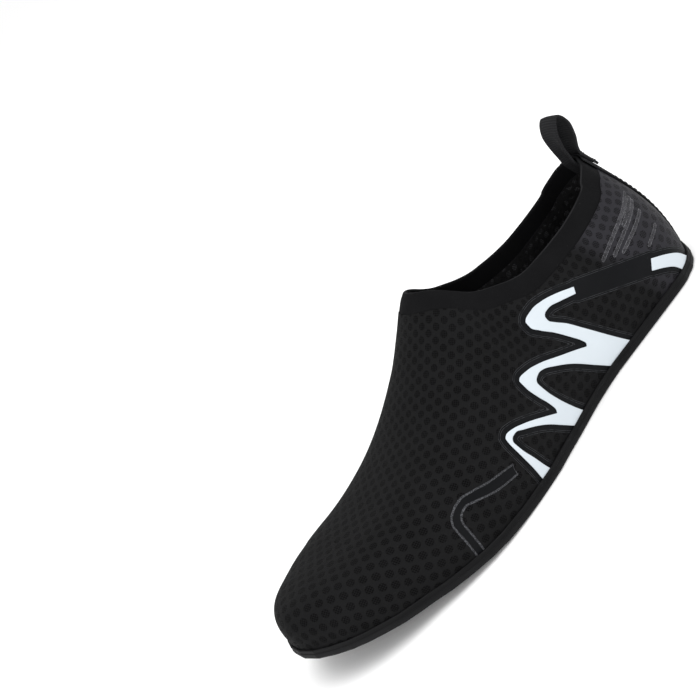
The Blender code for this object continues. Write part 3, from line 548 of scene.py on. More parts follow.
class Effects:
    """The shader node groups that the finishes share."""

    def __init__(self) -> None:
        """Builds each group once."""
        self.open_mesh = self._open_mesh()
        self.fine_knit = self._fine_knit()
        self.ribs = self._ribs()
        self.lint = self._lint()

    @staticmethod
    def _open_mesh() -> bpy.types.NodeTree:
        """Round clusters of tiny holes in staggered rows, on coordinates in millimetres.

        Returns:
            The group, which gives the holes, the clusters and a height.
        """
        graph, ins, outs = new_group("open_mesh", {
            "Vector": ("Vector", None), "Pitch": ("Float", 6.45), "Row step": ("Float", 4.35),
            "Cluster radius": ("Float", 1.95), "Hole pitch": ("Float", 0.95), "Hole radius": ("Float", 0.36),
        }, ("Holes", "Cluster", "Height"))
        joined = graph.node("ShaderNodeCombineXYZ")
        graph.feed(joined.inputs[0], ins.outputs["Pitch"])
        graph.feed(joined.inputs[1], graph.math("MULTIPLY", ins.outputs["Row step"], 2.0))
        graph.feed(joined.inputs[2], 1.0)
        cell = joined.outputs[0]
        locals_, reaches = [], []
        for offset in ((0.0, 0.0, 0.5), (0.5, 0.5, 0.5)):
            at = graph.vector("ADD", graph.vector("DIVIDE", ins.outputs["Vector"], cell), offset)
            part = graph.vector("SUBTRACT", graph.vector("FRACTION", at), (0.5, 0.5, 0.0))
            part = graph.vector("MULTIPLY", graph.vector("MULTIPLY", part, cell), (1.0, 1.0, 0.0))
            locals_.append(part)
            reaches.append(graph.vector("LENGTH", part))
        second = graph.math("LESS_THAN", reaches[1], reaches[0])
        chosen = graph.node("ShaderNodeMix", data_type="VECTOR")
        graph.feed(chosen.inputs[0], second)
        graph.feed(chosen.inputs[4], locals_[0])
        graph.feed(chosen.inputs[5], locals_[1])
        reach = graph.math("MINIMUM", reaches[0], reaches[1])
        from_edge = graph.math("SUBTRACT", ins.outputs["Cluster radius"], reach)
        cluster = graph.span(from_edge, -0.12, 0.3)
        scaled = graph.vector("SCALE", chosen.outputs[1])
        scale = scaled.node.inputs["Scale"]
        graph.feed(scale, graph.math("DIVIDE", 1.0, ins.outputs["Hole pitch"]))
        hole = graph.vector("SUBTRACT", graph.vector("FRACTION", scaled), (0.5, 0.5, 0.0))
        hole = graph.vector("LENGTH", graph.vector("MULTIPLY", hole, (1.0, 1.0, 0.0)))
        hole = graph.math("MULTIPLY", hole, ins.outputs["Hole pitch"])
        open_part = graph.span(graph.math("SUBTRACT", ins.outputs["Hole radius"], hole), -0.09, 0.09)
        holes = graph.math("MULTIPLY", open_part, graph.span(from_edge, 0.05, 0.25))
        dip = graph.math("MULTIPLY", cluster, -0.35)
        graph.feed(outs.inputs["Holes"], holes)
        graph.feed(outs.inputs["Cluster"], cluster)
        graph.feed(outs.inputs["Height"], graph.math("SUBTRACT", dip, holes))
        return graph.tree

    @staticmethod
    def _fine_knit() -> bpy.types.NodeTree:
        """Small interlocked stitches, on coordinates in millimetres.

        Returns:
            The group, which gives a height from 0 to 1.
        """
        graph, ins, outs = new_group("fine_knit", {
            "Vector": ("Vector", None), "Wale": ("Float", 0.55), "Course": ("Float", 0.45),
        }, ("Height",))
        parts = graph.node("ShaderNodeSeparateXYZ")
        graph.feed(parts.inputs[0], ins.outputs["Vector"])
        across = graph.math("MULTIPLY", graph.math("DIVIDE", parts.outputs[0], ins.outputs["Wale"]), math.tau)
        along = graph.math("MULTIPLY", graph.math("DIVIDE", parts.outputs[1], ins.outputs["Course"]), math.tau)
        bent = graph.math("ADD", along, graph.math("MULTIPLY", graph.math("COSINE", across), 1.3))
        loops = graph.math("MULTIPLY", graph.math("SINE", bent), 0.5)
        wales = graph.math("MULTIPLY", graph.math("COSINE", across), 0.5)
        total = graph.math("ADD", graph.math("ADD", loops, wales), 1.0)
        graph.feed(outs.inputs["Height"], graph.math("MULTIPLY", total, 0.5))
        return graph.tree

    @staticmethod
    def _ribs() -> bpy.types.NodeTree:
        """Ribs across a webbing with a fine cross thread, on coordinates in millimetres: X across, Y along.

        Returns:
            The group, which gives a height from 0 to 1.
        """
        graph, ins, outs = new_group("ribs", {
            "Vector": ("Vector", None), "Rib": ("Float", 1.1), "Thread": ("Float", 0.5),
        }, ("Height",))
        parts = graph.node("ShaderNodeSeparateXYZ")
        graph.feed(parts.inputs[0], ins.outputs["Vector"])
        across = graph.math("MULTIPLY", graph.math("DIVIDE", parts.outputs[0], ins.outputs["Thread"]), math.tau)
        along = graph.math("MULTIPLY", graph.math("DIVIDE", parts.outputs[1], ins.outputs["Rib"]), math.tau)
        wave = graph.math("SINE", graph.math("MULTIPLY", along, 0.5))
        rib = graph.math("POWER", graph.math("ABSOLUTE", wave), 0.6)
        thread = graph.math("MULTIPLY_ADD", graph.math("COSINE", across), 0.14, 0.86)
        graph.feed(outs.inputs["Height"], graph.math("MULTIPLY", rib, thread))
        return graph.tree

    @staticmethod
    def _lint() -> bpy.types.NodeTree:
        """Faint unevenness and specks of dust, on Object coordinates.

        Returns:
            The group, which gives a tone from 0 to 1 and specks.
        """
        graph, ins, outs = new_group("lint", {"Vector": ("Vector", None), "Scale": ("Float", 60.0)},
                                     ("Tone", "Specks"))
        tone = graph.noise(ins.outputs["Vector"], 1.0, 3.0)
        graph.feed(tone.node.inputs["Scale"], ins.outputs["Scale"])
        fine = graph.noise(ins.outputs["Vector"], 1.0, 1.0)
        graph.feed(fine.node.inputs["Scale"], graph.math("MULTIPLY", ins.outputs["Scale"], 22.0))
        graph.feed(outs.inputs["Tone"], graph.span(tone, 0.3, 0.7))
        graph.feed(outs.inputs["Specks"], graph.span(fine, 0.74, 0.82))
        return graph.tree


@dataclass(frozen=True)
class Finish:
    """What the finishes have in common."""

    name: str
    colour: tuple
    roughness: float
    gloss: float = 0.2

    def start(self) -> tuple[bpy.types.Material, Graph, bpy.types.Node]:
        """A new material, its graph and its shader."""
        made = bpy.data.materials.new(self.name)
        made.use_nodes = True
        shader = made.node_tree.nodes["Principled BSDF"]
        shader.inputs["Base Color"].default_value = (*self.colour, 1)
        shader.inputs["Roughness"].default_value = self.roughness
        shader.inputs["Specular IOR Level"].default_value = self.gloss
        return made, Graph(made.node_tree), shader

    @staticmethod
    def emboss(graph: Graph, shader: bpy.types.Node, height: Value, depth: float,
               strength: float = 1.0) -> None:
        """Feeds a height to the shader's normal.

        Args:
            graph: Graph of the material.
            shader: Its shader.
            height: Height, where 1 stands for depth.
            depth: Depth in metres.
            strength: Share of the effect.
        """
        bump = graph.node("ShaderNodeBump")
        graph.feed(bump.inputs["Height"], height)
        bump.inputs["Distance"].default_value = depth
        bump.inputs["Strength"].default_value = strength
        graph.feed(shader.inputs["Normal"], bump.outputs[0])


@dataclass(frozen=True)
class KnitFinish(Finish):
    """Open knit of the upper, with its smooth film borders, embossed lines and brushed strokes, and painted
    shade in its holes and hole clusters.
    """

    hole_shade_colour: tuple = (0.0004, 0.0004, 0.0005)
    smooth_border: tuple = (3.5, 2.9)
    border_lines: tuple = (2.3, 3.05)
    hook_band: tuple = (2.6, 2.1)
    stroke_edge: float = 0.72
    line_colour: tuple = (0.075, 0.077, 0.083)
    film_colour: tuple = (0.0035, 0.0038, 0.0045)
    quarter_colour: tuple = (0.032, 0.031, 0.037)
    stroke_colour: tuple = (0.15, 0.15, 0.16)

    def build(self, effects: Effects) -> bpy.types.Material:
        """The material, with its nodes."""
        made, graph, shader = self.start()
        object_place = graph.place()
        in_mm = graph.cloth_place()
        mesh = graph.group(effects.open_mesh, vector=in_mm)
        knit = graph.group(effects.fine_knit, vector=in_mm)
        lint = graph.group(effects.lint, vector=object_place)
        border, hook, stroke, quarter = (graph.attribute(name)
                                         for name in ("border", "hook", "stroke", "quarter"))
        smooth = graph.span(border, *self.smooth_border)
        dark_band = graph.span(hook, *self.hook_band)
        filmed = graph.math("MAXIMUM", smooth, dark_band)
        fainter = graph.math("MULTIPLY_ADD", quarter, -0.25, 1.0)
        shown = graph.math("MULTIPLY", graph.math("SUBTRACT", 1.0, filmed), fainter)
        fine = graph.span(graph.noise(object_place, 2300.0, 1.0), 0.40, 0.62)
        broken = graph.span(graph.noise(object_place, 420.0, 1.0), 0.36, 0.52, 0.25, 1.0)
        ragged = graph.math("MULTIPLY_ADD", graph.noise(object_place, 700.0, 2.0), 0.5, -0.25)
        edge = graph.math("ADD", border, graph.math("MULTIPLY", ragged, 0.4))
        lines = graph.math("MAXIMUM", *(self._line(graph, edge, place, 0.05) for place in self.border_lines))
        lines = graph.math("MULTIPLY", lines, graph.math("MULTIPLY", broken, 0.75))
        hatch = graph.math("MULTIPLY_ADD", fine, 0.75, 0.25)
        bars = self._line(graph, graph.math("ADD", hook, ragged), HOOK_REACH, 0.42)
        bars = graph.math("MULTIPLY", bars, hatch)
        near = graph.math("ADD", stroke, graph.math("MULTIPLY", ragged, 1.2))
        sides = graph.math("MULTIPLY", self._line(graph, near, self.stroke_edge, 0.14),
                           graph.math("MULTIPLY", hatch, 0.95))
        middle = graph.math("MULTIPLY", graph.span(near, 0.8, 0.2), graph.math("MULTIPLY", hatch, 0.35))
        lines = graph.math("MAXIMUM", lines, bars)
        strokes = graph.math("MAXIMUM", sides, middle)
        base = graph.mix(graph.math("MULTIPLY", quarter, 0.85), self.colour, self.quarter_colour)
        stitch_shade = tuple(0.4 * c for c in self.colour)
        base = graph.mix(graph.math("MULTIPLY", knit.outputs[0], 0.6), base, stitch_shade)
        # Painted shade: the hole clusters are darkened a little and the holes almost to black, for the shade
        # inside the openings.
        base = graph.mix(graph.math("MULTIPLY", mesh.outputs["Cluster"], graph.math("MULTIPLY", shown, 0.1)),
                         base, tuple(0.3 * c for c in self.colour))
        base = graph.mix(graph.math("MULTIPLY", mesh.outputs["Holes"], shown), base, self.hole_shade_colour)
        base = graph.mix(graph.math("MULTIPLY", filmed, 0.95), base, self.film_colour)
        base = graph.mix(graph.math("MULTIPLY", lint.outputs["Tone"], 0.12), base, (0.014, 0.014, 0.015))
        base = graph.mix(graph.math("MULTIPLY", lint.outputs["Specks"], 0.12), base, (0.08, 0.08, 0.08))
        base = graph.mix(strokes, graph.mix(lines, base, self.line_colour), self.stroke_colour)
        graph.feed(shader.inputs["Base Color"], base)
        sheen = graph.math("MAXIMUM", filmed, graph.math("MULTIPLY", quarter, 0.75))
        graph.feed(shader.inputs["Roughness"], graph.math("MULTIPLY_ADD", sheen, -0.22, self.roughness))
        height = graph.math("MULTIPLY", mesh.outputs["Height"], shown)
        stitches = graph.math("MULTIPLY", knit.outputs[0], shown)
        height = graph.math("ADD", height, graph.math("MULTIPLY", stitches, 0.3))
        height = graph.math("ADD", height, graph.math("MULTIPLY", graph.math("MAXIMUM", lines, strokes), 0.8))
        self.emboss(graph, shader, height, 0.00035)
        return made

    @staticmethod
    def _line(graph: Graph, distance: Value, middle: float, half: float) -> bpy.types.NodeSocket:
        """Thin line where the distance is near middle, in millimetres."""
        off = graph.math("ABSOLUTE", graph.math("SUBTRACT", distance, middle))
        return graph.span(off, half + 0.12, half - 0.08)


@dataclass(frozen=True)
class LiningFinish(Finish):
    """Dark cloth inside, with the mesh's holes showing as small dots of painted light coming through them."""

    hole_light_colour: tuple = (0.075, 0.075, 0.08)

    def build(self, effects: Effects) -> bpy.types.Material:
        """The material, with its nodes."""
        made, graph, shader = self.start()
        in_mm = graph.cloth_place()
        mesh = graph.group(effects.open_mesh, vector=in_mm)
        knit = graph.group(effects.fine_knit, vector=in_mm)
        base = graph.mix(graph.math("MULTIPLY", knit.outputs[0], 0.5), self.colour,
                         tuple(0.5 * c for c in self.colour))
        # Painted light: the holes are lightened, in uneven patches, for the light that comes through the open
        # mesh.
        hole_light_patches = graph.span(graph.noise(graph.place(), 240.0, 1.0), 0.42, 0.66)
        base = graph.mix(graph.math("MULTIPLY", mesh.outputs["Holes"], hole_light_patches), base, self.hole_light_colour)
        graph.feed(shader.inputs["Base Color"], base)
        height = graph.math("ADD", mesh.outputs["Height"], graph.math("MULTIPLY", knit.outputs[0], 0.3))
        self.emboss(graph, shader, height, 0.0003)
        return made


@dataclass(frozen=True)
class ClothFinish(Finish):
    """Close cloth: the collar's elastic and the insole's cover, with a painted highlight along the top of the
    collar's roll.
    """

    wale: float = 0.5
    course: float = 0.4
    depth: float = 0.00012
    light_colour: tuple = (0.009, 0.009, 0.0095)
    rim_highlight_colour: tuple = (0.015, 0.015, 0.016)

    def build(self, effects: Effects) -> bpy.types.Material:
        """The material, with its nodes."""
        made, graph, shader = self.start()
        in_mm = graph.cloth_place()
        knit = graph.group(effects.fine_knit, vector=in_mm, wale=self.wale, course=self.course)
        lint = graph.group(effects.lint, vector=graph.place())
        base = graph.mix(graph.math("MULTIPLY", knit.outputs[0], 0.4), self.colour, self.light_colour)
        base = graph.mix(graph.math("MULTIPLY", lint.outputs["Tone"], 0.25), base,
                         tuple(0.6 * c for c in self.colour))
        base = graph.mix(graph.math("MULTIPLY", lint.outputs["Specks"], 0.15), base, (0.10, 0.10, 0.10))
        # Painted highlight: the rows over the top of the collar's roll are lightened, in uneven patches, for
        # the light they catch.
        patchy = graph.span(lint.outputs["Tone"], 0.1, 0.7, 0.4, 1.0)
        painted_rim_highlight = graph.math("MULTIPLY", graph.attribute("rim"), patchy)
        base = graph.mix(painted_rim_highlight, base, self.rim_highlight_colour)
        graph.feed(shader.inputs["Base Color"], base)
        graph.feed(shader.inputs["Roughness"],
                   graph.math("MULTIPLY_ADD", lint.outputs["Tone"], 0.1, self.roughness - 0.05))
        self.emboss(graph, shader, knit.outputs[0], self.depth)
        return made


@dataclass(frozen=True)
class WebbingFinish(Finish):
    """Ribbed webbing of the loop and the heel tape."""

    rib: float = 1.1
    light_colour: tuple = (0.026, 0.026, 0.028)

    def build(self, effects: Effects) -> bpy.types.Material:
        """The material, with its nodes."""
        made, graph, shader = self.start()
        in_mm = graph.cloth_place()
        ribs = graph.group(effects.ribs, vector=in_mm, rib=self.rib)
        lint = graph.group(effects.lint, vector=graph.place())
        base = graph.mix(graph.math("MULTIPLY", ribs.outputs[0], 0.6), self.colour, self.light_colour)
        base = graph.mix(graph.math("MULTIPLY", lint.outputs["Specks"], 0.2), base, (0.2, 0.2, 0.2))
        graph.feed(shader.inputs["Base Color"], base)
        graph.feed(shader.inputs["Roughness"],
                   graph.math("MULTIPLY_ADD", lint.outputs["Tone"], 0.12, self.roughness - 0.06))
        self.emboss(graph, shader, ribs.outputs[0], 0.00025)
        return made


@dataclass(frozen=True)
class FilmFinish(Finish):
    """White film with a slight sheen, a little greyer in places where it has been rubbed."""

    rubbed_colour: tuple = (0.435, 0.475, 0.51)

    def build(self, effects: Effects) -> bpy.types.Material:
        """The material, with its nodes."""
        made, graph, shader = self.start()
        lint = graph.group(effects.lint, vector=graph.place(), scale=45.0)
        base = graph.mix(graph.math("MULTIPLY", lint.outputs["Tone"], 0.22), self.colour, self.rubbed_colour)
        graph.feed(shader.inputs["Base Color"], base)
        graph.feed(shader.inputs["Roughness"],
                   graph.math("MULTIPLY_ADD", lint.outputs["Tone"], 0.15, self.roughness - 0.05))
        grain = graph.noise(graph.place(), 2600.0, 1.0)
        self.emboss(graph, shader, grain, 0.00003)
        return made


@dataclass(frozen=True)
class RubberFinish(Finish):
    """Matt moulded rubber, lighter on the lugs and along the sharp edges with a painted highlight."""

    edge_highlight_colour: tuple = (0.014, 0.014, 0.0145)

    def build(self, effects: Effects) -> bpy.types.Material:
        """The material, with its nodes."""
        made, graph, shader = self.start()
        place = graph.place()
        lint = graph.group(effects.lint, vector=place, scale=70.0)
        geometry = graph.node("ShaderNodeNewGeometry")
        # Painted highlight: sharp edges, found by their pointiness, are lightened, unevenly, for the light they
        # catch.
        edges = graph.span(geometry.outputs["Pointiness"], 0.51, 0.56)
        edge_highlight = graph.math("MULTIPLY", edges, graph.math("MULTIPLY_ADD", lint.outputs["Tone"], 0.5, 0.3))
        base = graph.mix(graph.math("MULTIPLY", lint.outputs["Tone"], 0.3), self.colour,
                         tuple(0.6 * c for c in self.colour))
        base = graph.mix(edge_highlight, base, self.edge_highlight_colour)
        base = graph.mix(graph.math("MULTIPLY", lint.outputs["Specks"], 0.15), base, (0.12, 0.12, 0.12))
        graph.feed(shader.inputs["Base Color"], base)
        graph.feed(shader.inputs["Roughness"],
                   graph.math("MULTIPLY_ADD", lint.outputs["Tone"], 0.12, self.roughness - 0.06))
        grain = graph.noise(place, 1800.0, 2.0)
        self.emboss(graph, shader, grain, 0.00006)
        return made


@dataclass(frozen=True)
class FloorFinish(Finish):
    """Plain pale floor, faintly uneven."""

    def build(self, effects: Effects) -> bpy.types.Material:
        """The material, with its nodes."""
        made, graph, shader = self.start()
        tone = graph.noise(graph.place(), 3.0, 2.0)
        graph.feed(shader.inputs["Base Color"],
                   graph.mix(graph.math("MULTIPLY", tone, 0.05), self.colour, (0.92, 0.92, 0.925)))
        return made


class Wardrobe:
    """Every finish of the shoe, made once."""

    def __init__(self) -> None:
        """Builds the effects and the materials."""
        effects = Effects()
        self.knit = KnitFinish("black_open_knit", (0.0078, 0.0078, 0.0082), 0.72, 0.05).build(effects)
        self.lining = LiningFinish("dark_lining", (0.015, 0.015, 0.0155), 0.85, 0.05).build(effects)
        self.elastic = ClothFinish("collar_elastic_knit", (0.004, 0.004, 0.0045), 0.8, 0.05).build(effects)
        self.insole = ClothFinish("insole_cloth", (0.015, 0.015, 0.016), 0.9, 0.1, wale=0.9, course=0.7,
                                  depth=0.0002).build(effects)
        self.webbing = WebbingFinish("ribbed_webbing", (0.006, 0.006, 0.0065), 0.75, 0.06).build(effects)
        self.film = FilmFinish("white_film_sheen", (0.50, 0.545, 0.58), 0.45, 0.25).build(effects)
        self.rubber = RubberFinish("matt_sole_rubber", (0.0048, 0.0048, 0.0052), 0.6, 0.08).build(effects)
        self.thread = WebbingFinish("black_thread", (0.02, 0.02, 0.022), 0.7, rib=0.4).build(effects)
        self.floor = FloorFinish("pale_floor", (0.95, 0.95, 0.95), 0.7, 0.2).build(effects)


def pick(piece: bpy.types.Object) -> None:
    """Makes a piece the only one selected, and the active one."""
    bpy.ops.object.select_all(action="DESELECT")
    piece.select_set(True)
    bpy.context.view_layer.objects.active = piece


def apply_modifiers(piece: bpy.types.Object) -> None:
    """Applies all of a piece's modifiers, in order."""
    pick(piece)
    for modifier in list(piece.modifiers):
        bpy.ops.object.modifier_apply(modifier=modifier.name)


def thicken(piece: bpy.types.Object, wall: float, offset: float, edge_share: float) -> None:
    """Gives a sheet its thickness and rounds its edges.

    Args:
        piece: The sheet.
        wall: Thickness.
        offset: 1 where the thickness lies outside the sheet, 0 where the sheet runs through its middle.
        edge_share: Width of the rounding, a share of the thickness.
    """
    shell = piece.modifiers.new("Thickness", "SOLIDIFY")
    shell.thickness = wall
    shell.offset = offset
    edge = piece.modifiers.new("Edge", "BEVEL")
    edge.width = edge_share * wall
    edge.segments = 2
    edge.limit_method = "ANGLE"
    edge.angle_limit = math.radians(60)
    apply_modifiers(piece)


def finish_piece(piece: bpy.types.Object, materials: Iterable[bpy.types.Material],
                 replaced: Sequence[str] = (), angle: float = 50.0) -> bpy.types.Object:
    """Dresses a piece and hangs it on the shoe.

    Args:
        piece: The piece.
        materials: Its materials, by slot.
        replaced: CAD nodes that it stands for.
        angle: Edges sharper than this, in degrees, stay sharp.

    Returns:
        The same piece.
    """
    for index, made in enumerate(materials):
        if index < len(piece.data.materials):
            piece.data.materials[index] = made
        else:
            piece.data.materials.append(made)
    pick(piece)
    bpy.ops.object.shade_smooth_by_angle(angle=math.radians(angle))
    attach(piece, "root")
    if replaced:
        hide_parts(*replaced)
    log.info("%s: %d faces", piece.name, len(piece.data.polygons))
    return piece


def mesh_piece(name: str, points: Array, faces: Sequence[Sequence[int]], uv: Optional[Array] = None
               ) -> bpy.types.Object:
    """A new piece from points and faces.

    Args:
        name: Name of the piece.
        points: Points, n by 3.
        faces: Corners of each face.
        uv: Place of each point in the UV map, in metres, where it has one.

    Returns:
        The piece, linked to the scene.
    """
    data = bpy.data.meshes.new(name)
    data.from_pydata([tuple(point) for point in points], [], [tuple(face) for face in faces])
    if uv is not None:
        layer = data.uv_layers.new(name="UVMap")
        corners = np.zeros(len(data.loops), np.int32)
        data.loops.foreach_get("vertex_index", corners)
        layer.data.foreach_set("uv", np.asarray(uv, np.float32)[corners].ravel())
    data.validate()
    piece = bpy.data.objects.new(name, data)
    bpy.context.scene.collection.objects.link(piece)
    return piece


def grid_faces(rows: int, columns: int, start: int = 0, flipped: bool = False, round_rows: bool = False,
               round_columns: bool = False) -> list[tuple[int, ...]]:
    """Faces of a grid of points.

    Args:
        rows: Points one way.
        columns: Points the other way.
        start: Index of the first point.
        flipped: Whether the faces turn the other way.
        round_rows: Whether the last row meets the first.
        round_columns: Whether the last column meets the first.

    Returns:
        Four corners for each face.
    """
    faces = []
    for i in range(rows if round_rows else rows - 1):
        for j in range(columns if round_columns else columns - 1):
            a, b = i * columns, (i + 1) % rows * columns
            k = (j + 1) % columns
            face = (start + a + j, start + b + j, start + b + k, start + a + k)
            faces.append(face[::-1] if flipped else face)
    return faces


def weld(piece: bpy.types.Object, distance: float = 2e-6, outward: bool = False) -> None:
    """Merges points that meet.

    Args:
        piece: The piece.
        distance: How near they must be.
        outward: Whether the faces are turned outward too.
    """
    mesh = bmesh.new()
    mesh.from_mesh(piece.data)
    bmesh.ops.remove_doubles(mesh, verts=mesh.verts, dist=distance)
    bmesh.ops.dissolve_degenerate(mesh, edges=mesh.edges, dist=distance)
    if outward:
        bmesh.ops.recalc_face_normals(mesh, faces=mesh.faces)
    mesh.to_mesh(piece.data)
    mesh.free()


@dataclass
class FilmDesign:
    """Outlines of the films and lines, seen from the side: shares of length and instep height."""

    zigzag: tuple = (
        ((0.275, 0.472), (0.309, 0.523), (0.340, 0.560), (0.364, 0.579), (0.383, 0.583), (0.392, 0.569),
         (0.393, 0.537), (0.386, 0.500), (0.367, 0.426), (0.349, 0.343), (0.336, 0.278), (0.333, 0.252),
         (0.336, 0.239)),
        ((0.336, 0.239), (0.364, 0.292), (0.401, 0.357), (0.432, 0.407), (0.457, 0.440), (0.475, 0.452),
         (0.482, 0.440), (0.482, 0.398), (0.477, 0.324), (0.469, 0.250), (0.466, 0.204), (0.469, 0.185)),
        ((0.469, 0.185), (0.491, 0.232), (0.531, 0.310), (0.553, 0.341), (0.565, 0.349), (0.573, 0.338),
         (0.575, 0.296), (0.574, 0.213), (0.572, 0.130), (0.570, 0.000)),
        ((0.536, 0.000), (0.547, 0.051), (0.560, 0.176), (0.566, 0.241), (0.568, 0.296), (0.562, 0.317),
         (0.554, 0.319), (0.540, 0.296), (0.500, 0.204), (0.472, 0.111), (0.440, 0.000)),
        ((0.410, 0.000), (0.432, 0.111), (0.448, 0.213), (0.457, 0.296), (0.460, 0.361), (0.454, 0.378),
         (0.444, 0.381), (0.432, 0.370), (0.411, 0.329), (0.386, 0.269), (0.343, 0.130), (0.304, 0.000)),
        ((0.247, 0.000), (0.278, 0.130), (0.318, 0.315), (0.336, 0.398), (0.352, 0.454), (0.359, 0.486),
         (0.358, 0.505), (0.350, 0.516), (0.336, 0.511), (0.315, 0.486), (0.282, 0.444)),
    )
    heel_flash: tuple = (((0.040, 0.000), (0.059, 0.069), (0.077, 0.134), (0.102, 0.194), (0.131, 0.248)),
                         ((0.131, 0.248), (0.145, 0.202)),
                         ((0.145, 0.202), (0.120, 0.153), (0.102, 0.107), (0.080, 0.000)))
    # Bare strip between the heel flash and the zigzag's arm, and the lines: millimetres from the heel and floor
    strip: tuple = ((34.5, 22.5), (39.0, 18.5), (76.5, 39.0), (73.5, 42.5))
    hook_outer: tuple = ((160.8, 21.3), (167.5, 23.2), (174.2, 25.0), (183.3, 28.3), (188.0, 29.4),
                         (191.7, 28.9), (196.7, 26.7), (198.8, 23.3), (199.2, 16.7), (199.6, 5.0))
    hook_inner: tuple = ((161.7, 16.7), (173.3, 19.6), (183.3, 23.8), (189.2, 26.0), (193.3, 24.6),
                         (195.0, 21.7), (195.4, 16.7), (195.8, 5.0))
    strokes: tuple = (((17.3, 47.7), (35.5, 43.4), (53.7, 39.0)), ((18.0, 45.4), (33.0, 41.6)),
                      ((18.4, 43.4), (33.1, 39.9), (47.8, 36.3)), ((20.3, 38.8), (31.7, 36.5), (43.2, 34.2)),
                      ((20.0, 29.3), (31.3, 26.9)))

    @staticmethod
    def smooth(run: Sequence[Sequence[float]], steps: int = 10) -> Array:
        """Points of the smooth curve through a run of points."""
        points = np.array(run, float)
        if len(points) == 2:
            return points
        place = np.append(0, np.cumsum(np.hypot(*np.diff(points, axis=0).T)))
        fine = np.linspace(0, place[-1], steps * (len(points) - 1) + 1)
        return np.stack([smooth_curve(place, points[:, i], fine, flat_ends=False) for i in (0, 1)], 1)

    def outline(self, runs: tuple, last: Last) -> Array:
        """Closed outline of the runs, in millimetres."""
        line = np.concatenate([self.smooth(run) for run in runs])
        line = line[np.any(np.abs(line - np.roll(line, 1, axis=0)) > 1e-9, axis=1)]
        return line * (last.length / MM, last.instep_height / MM)


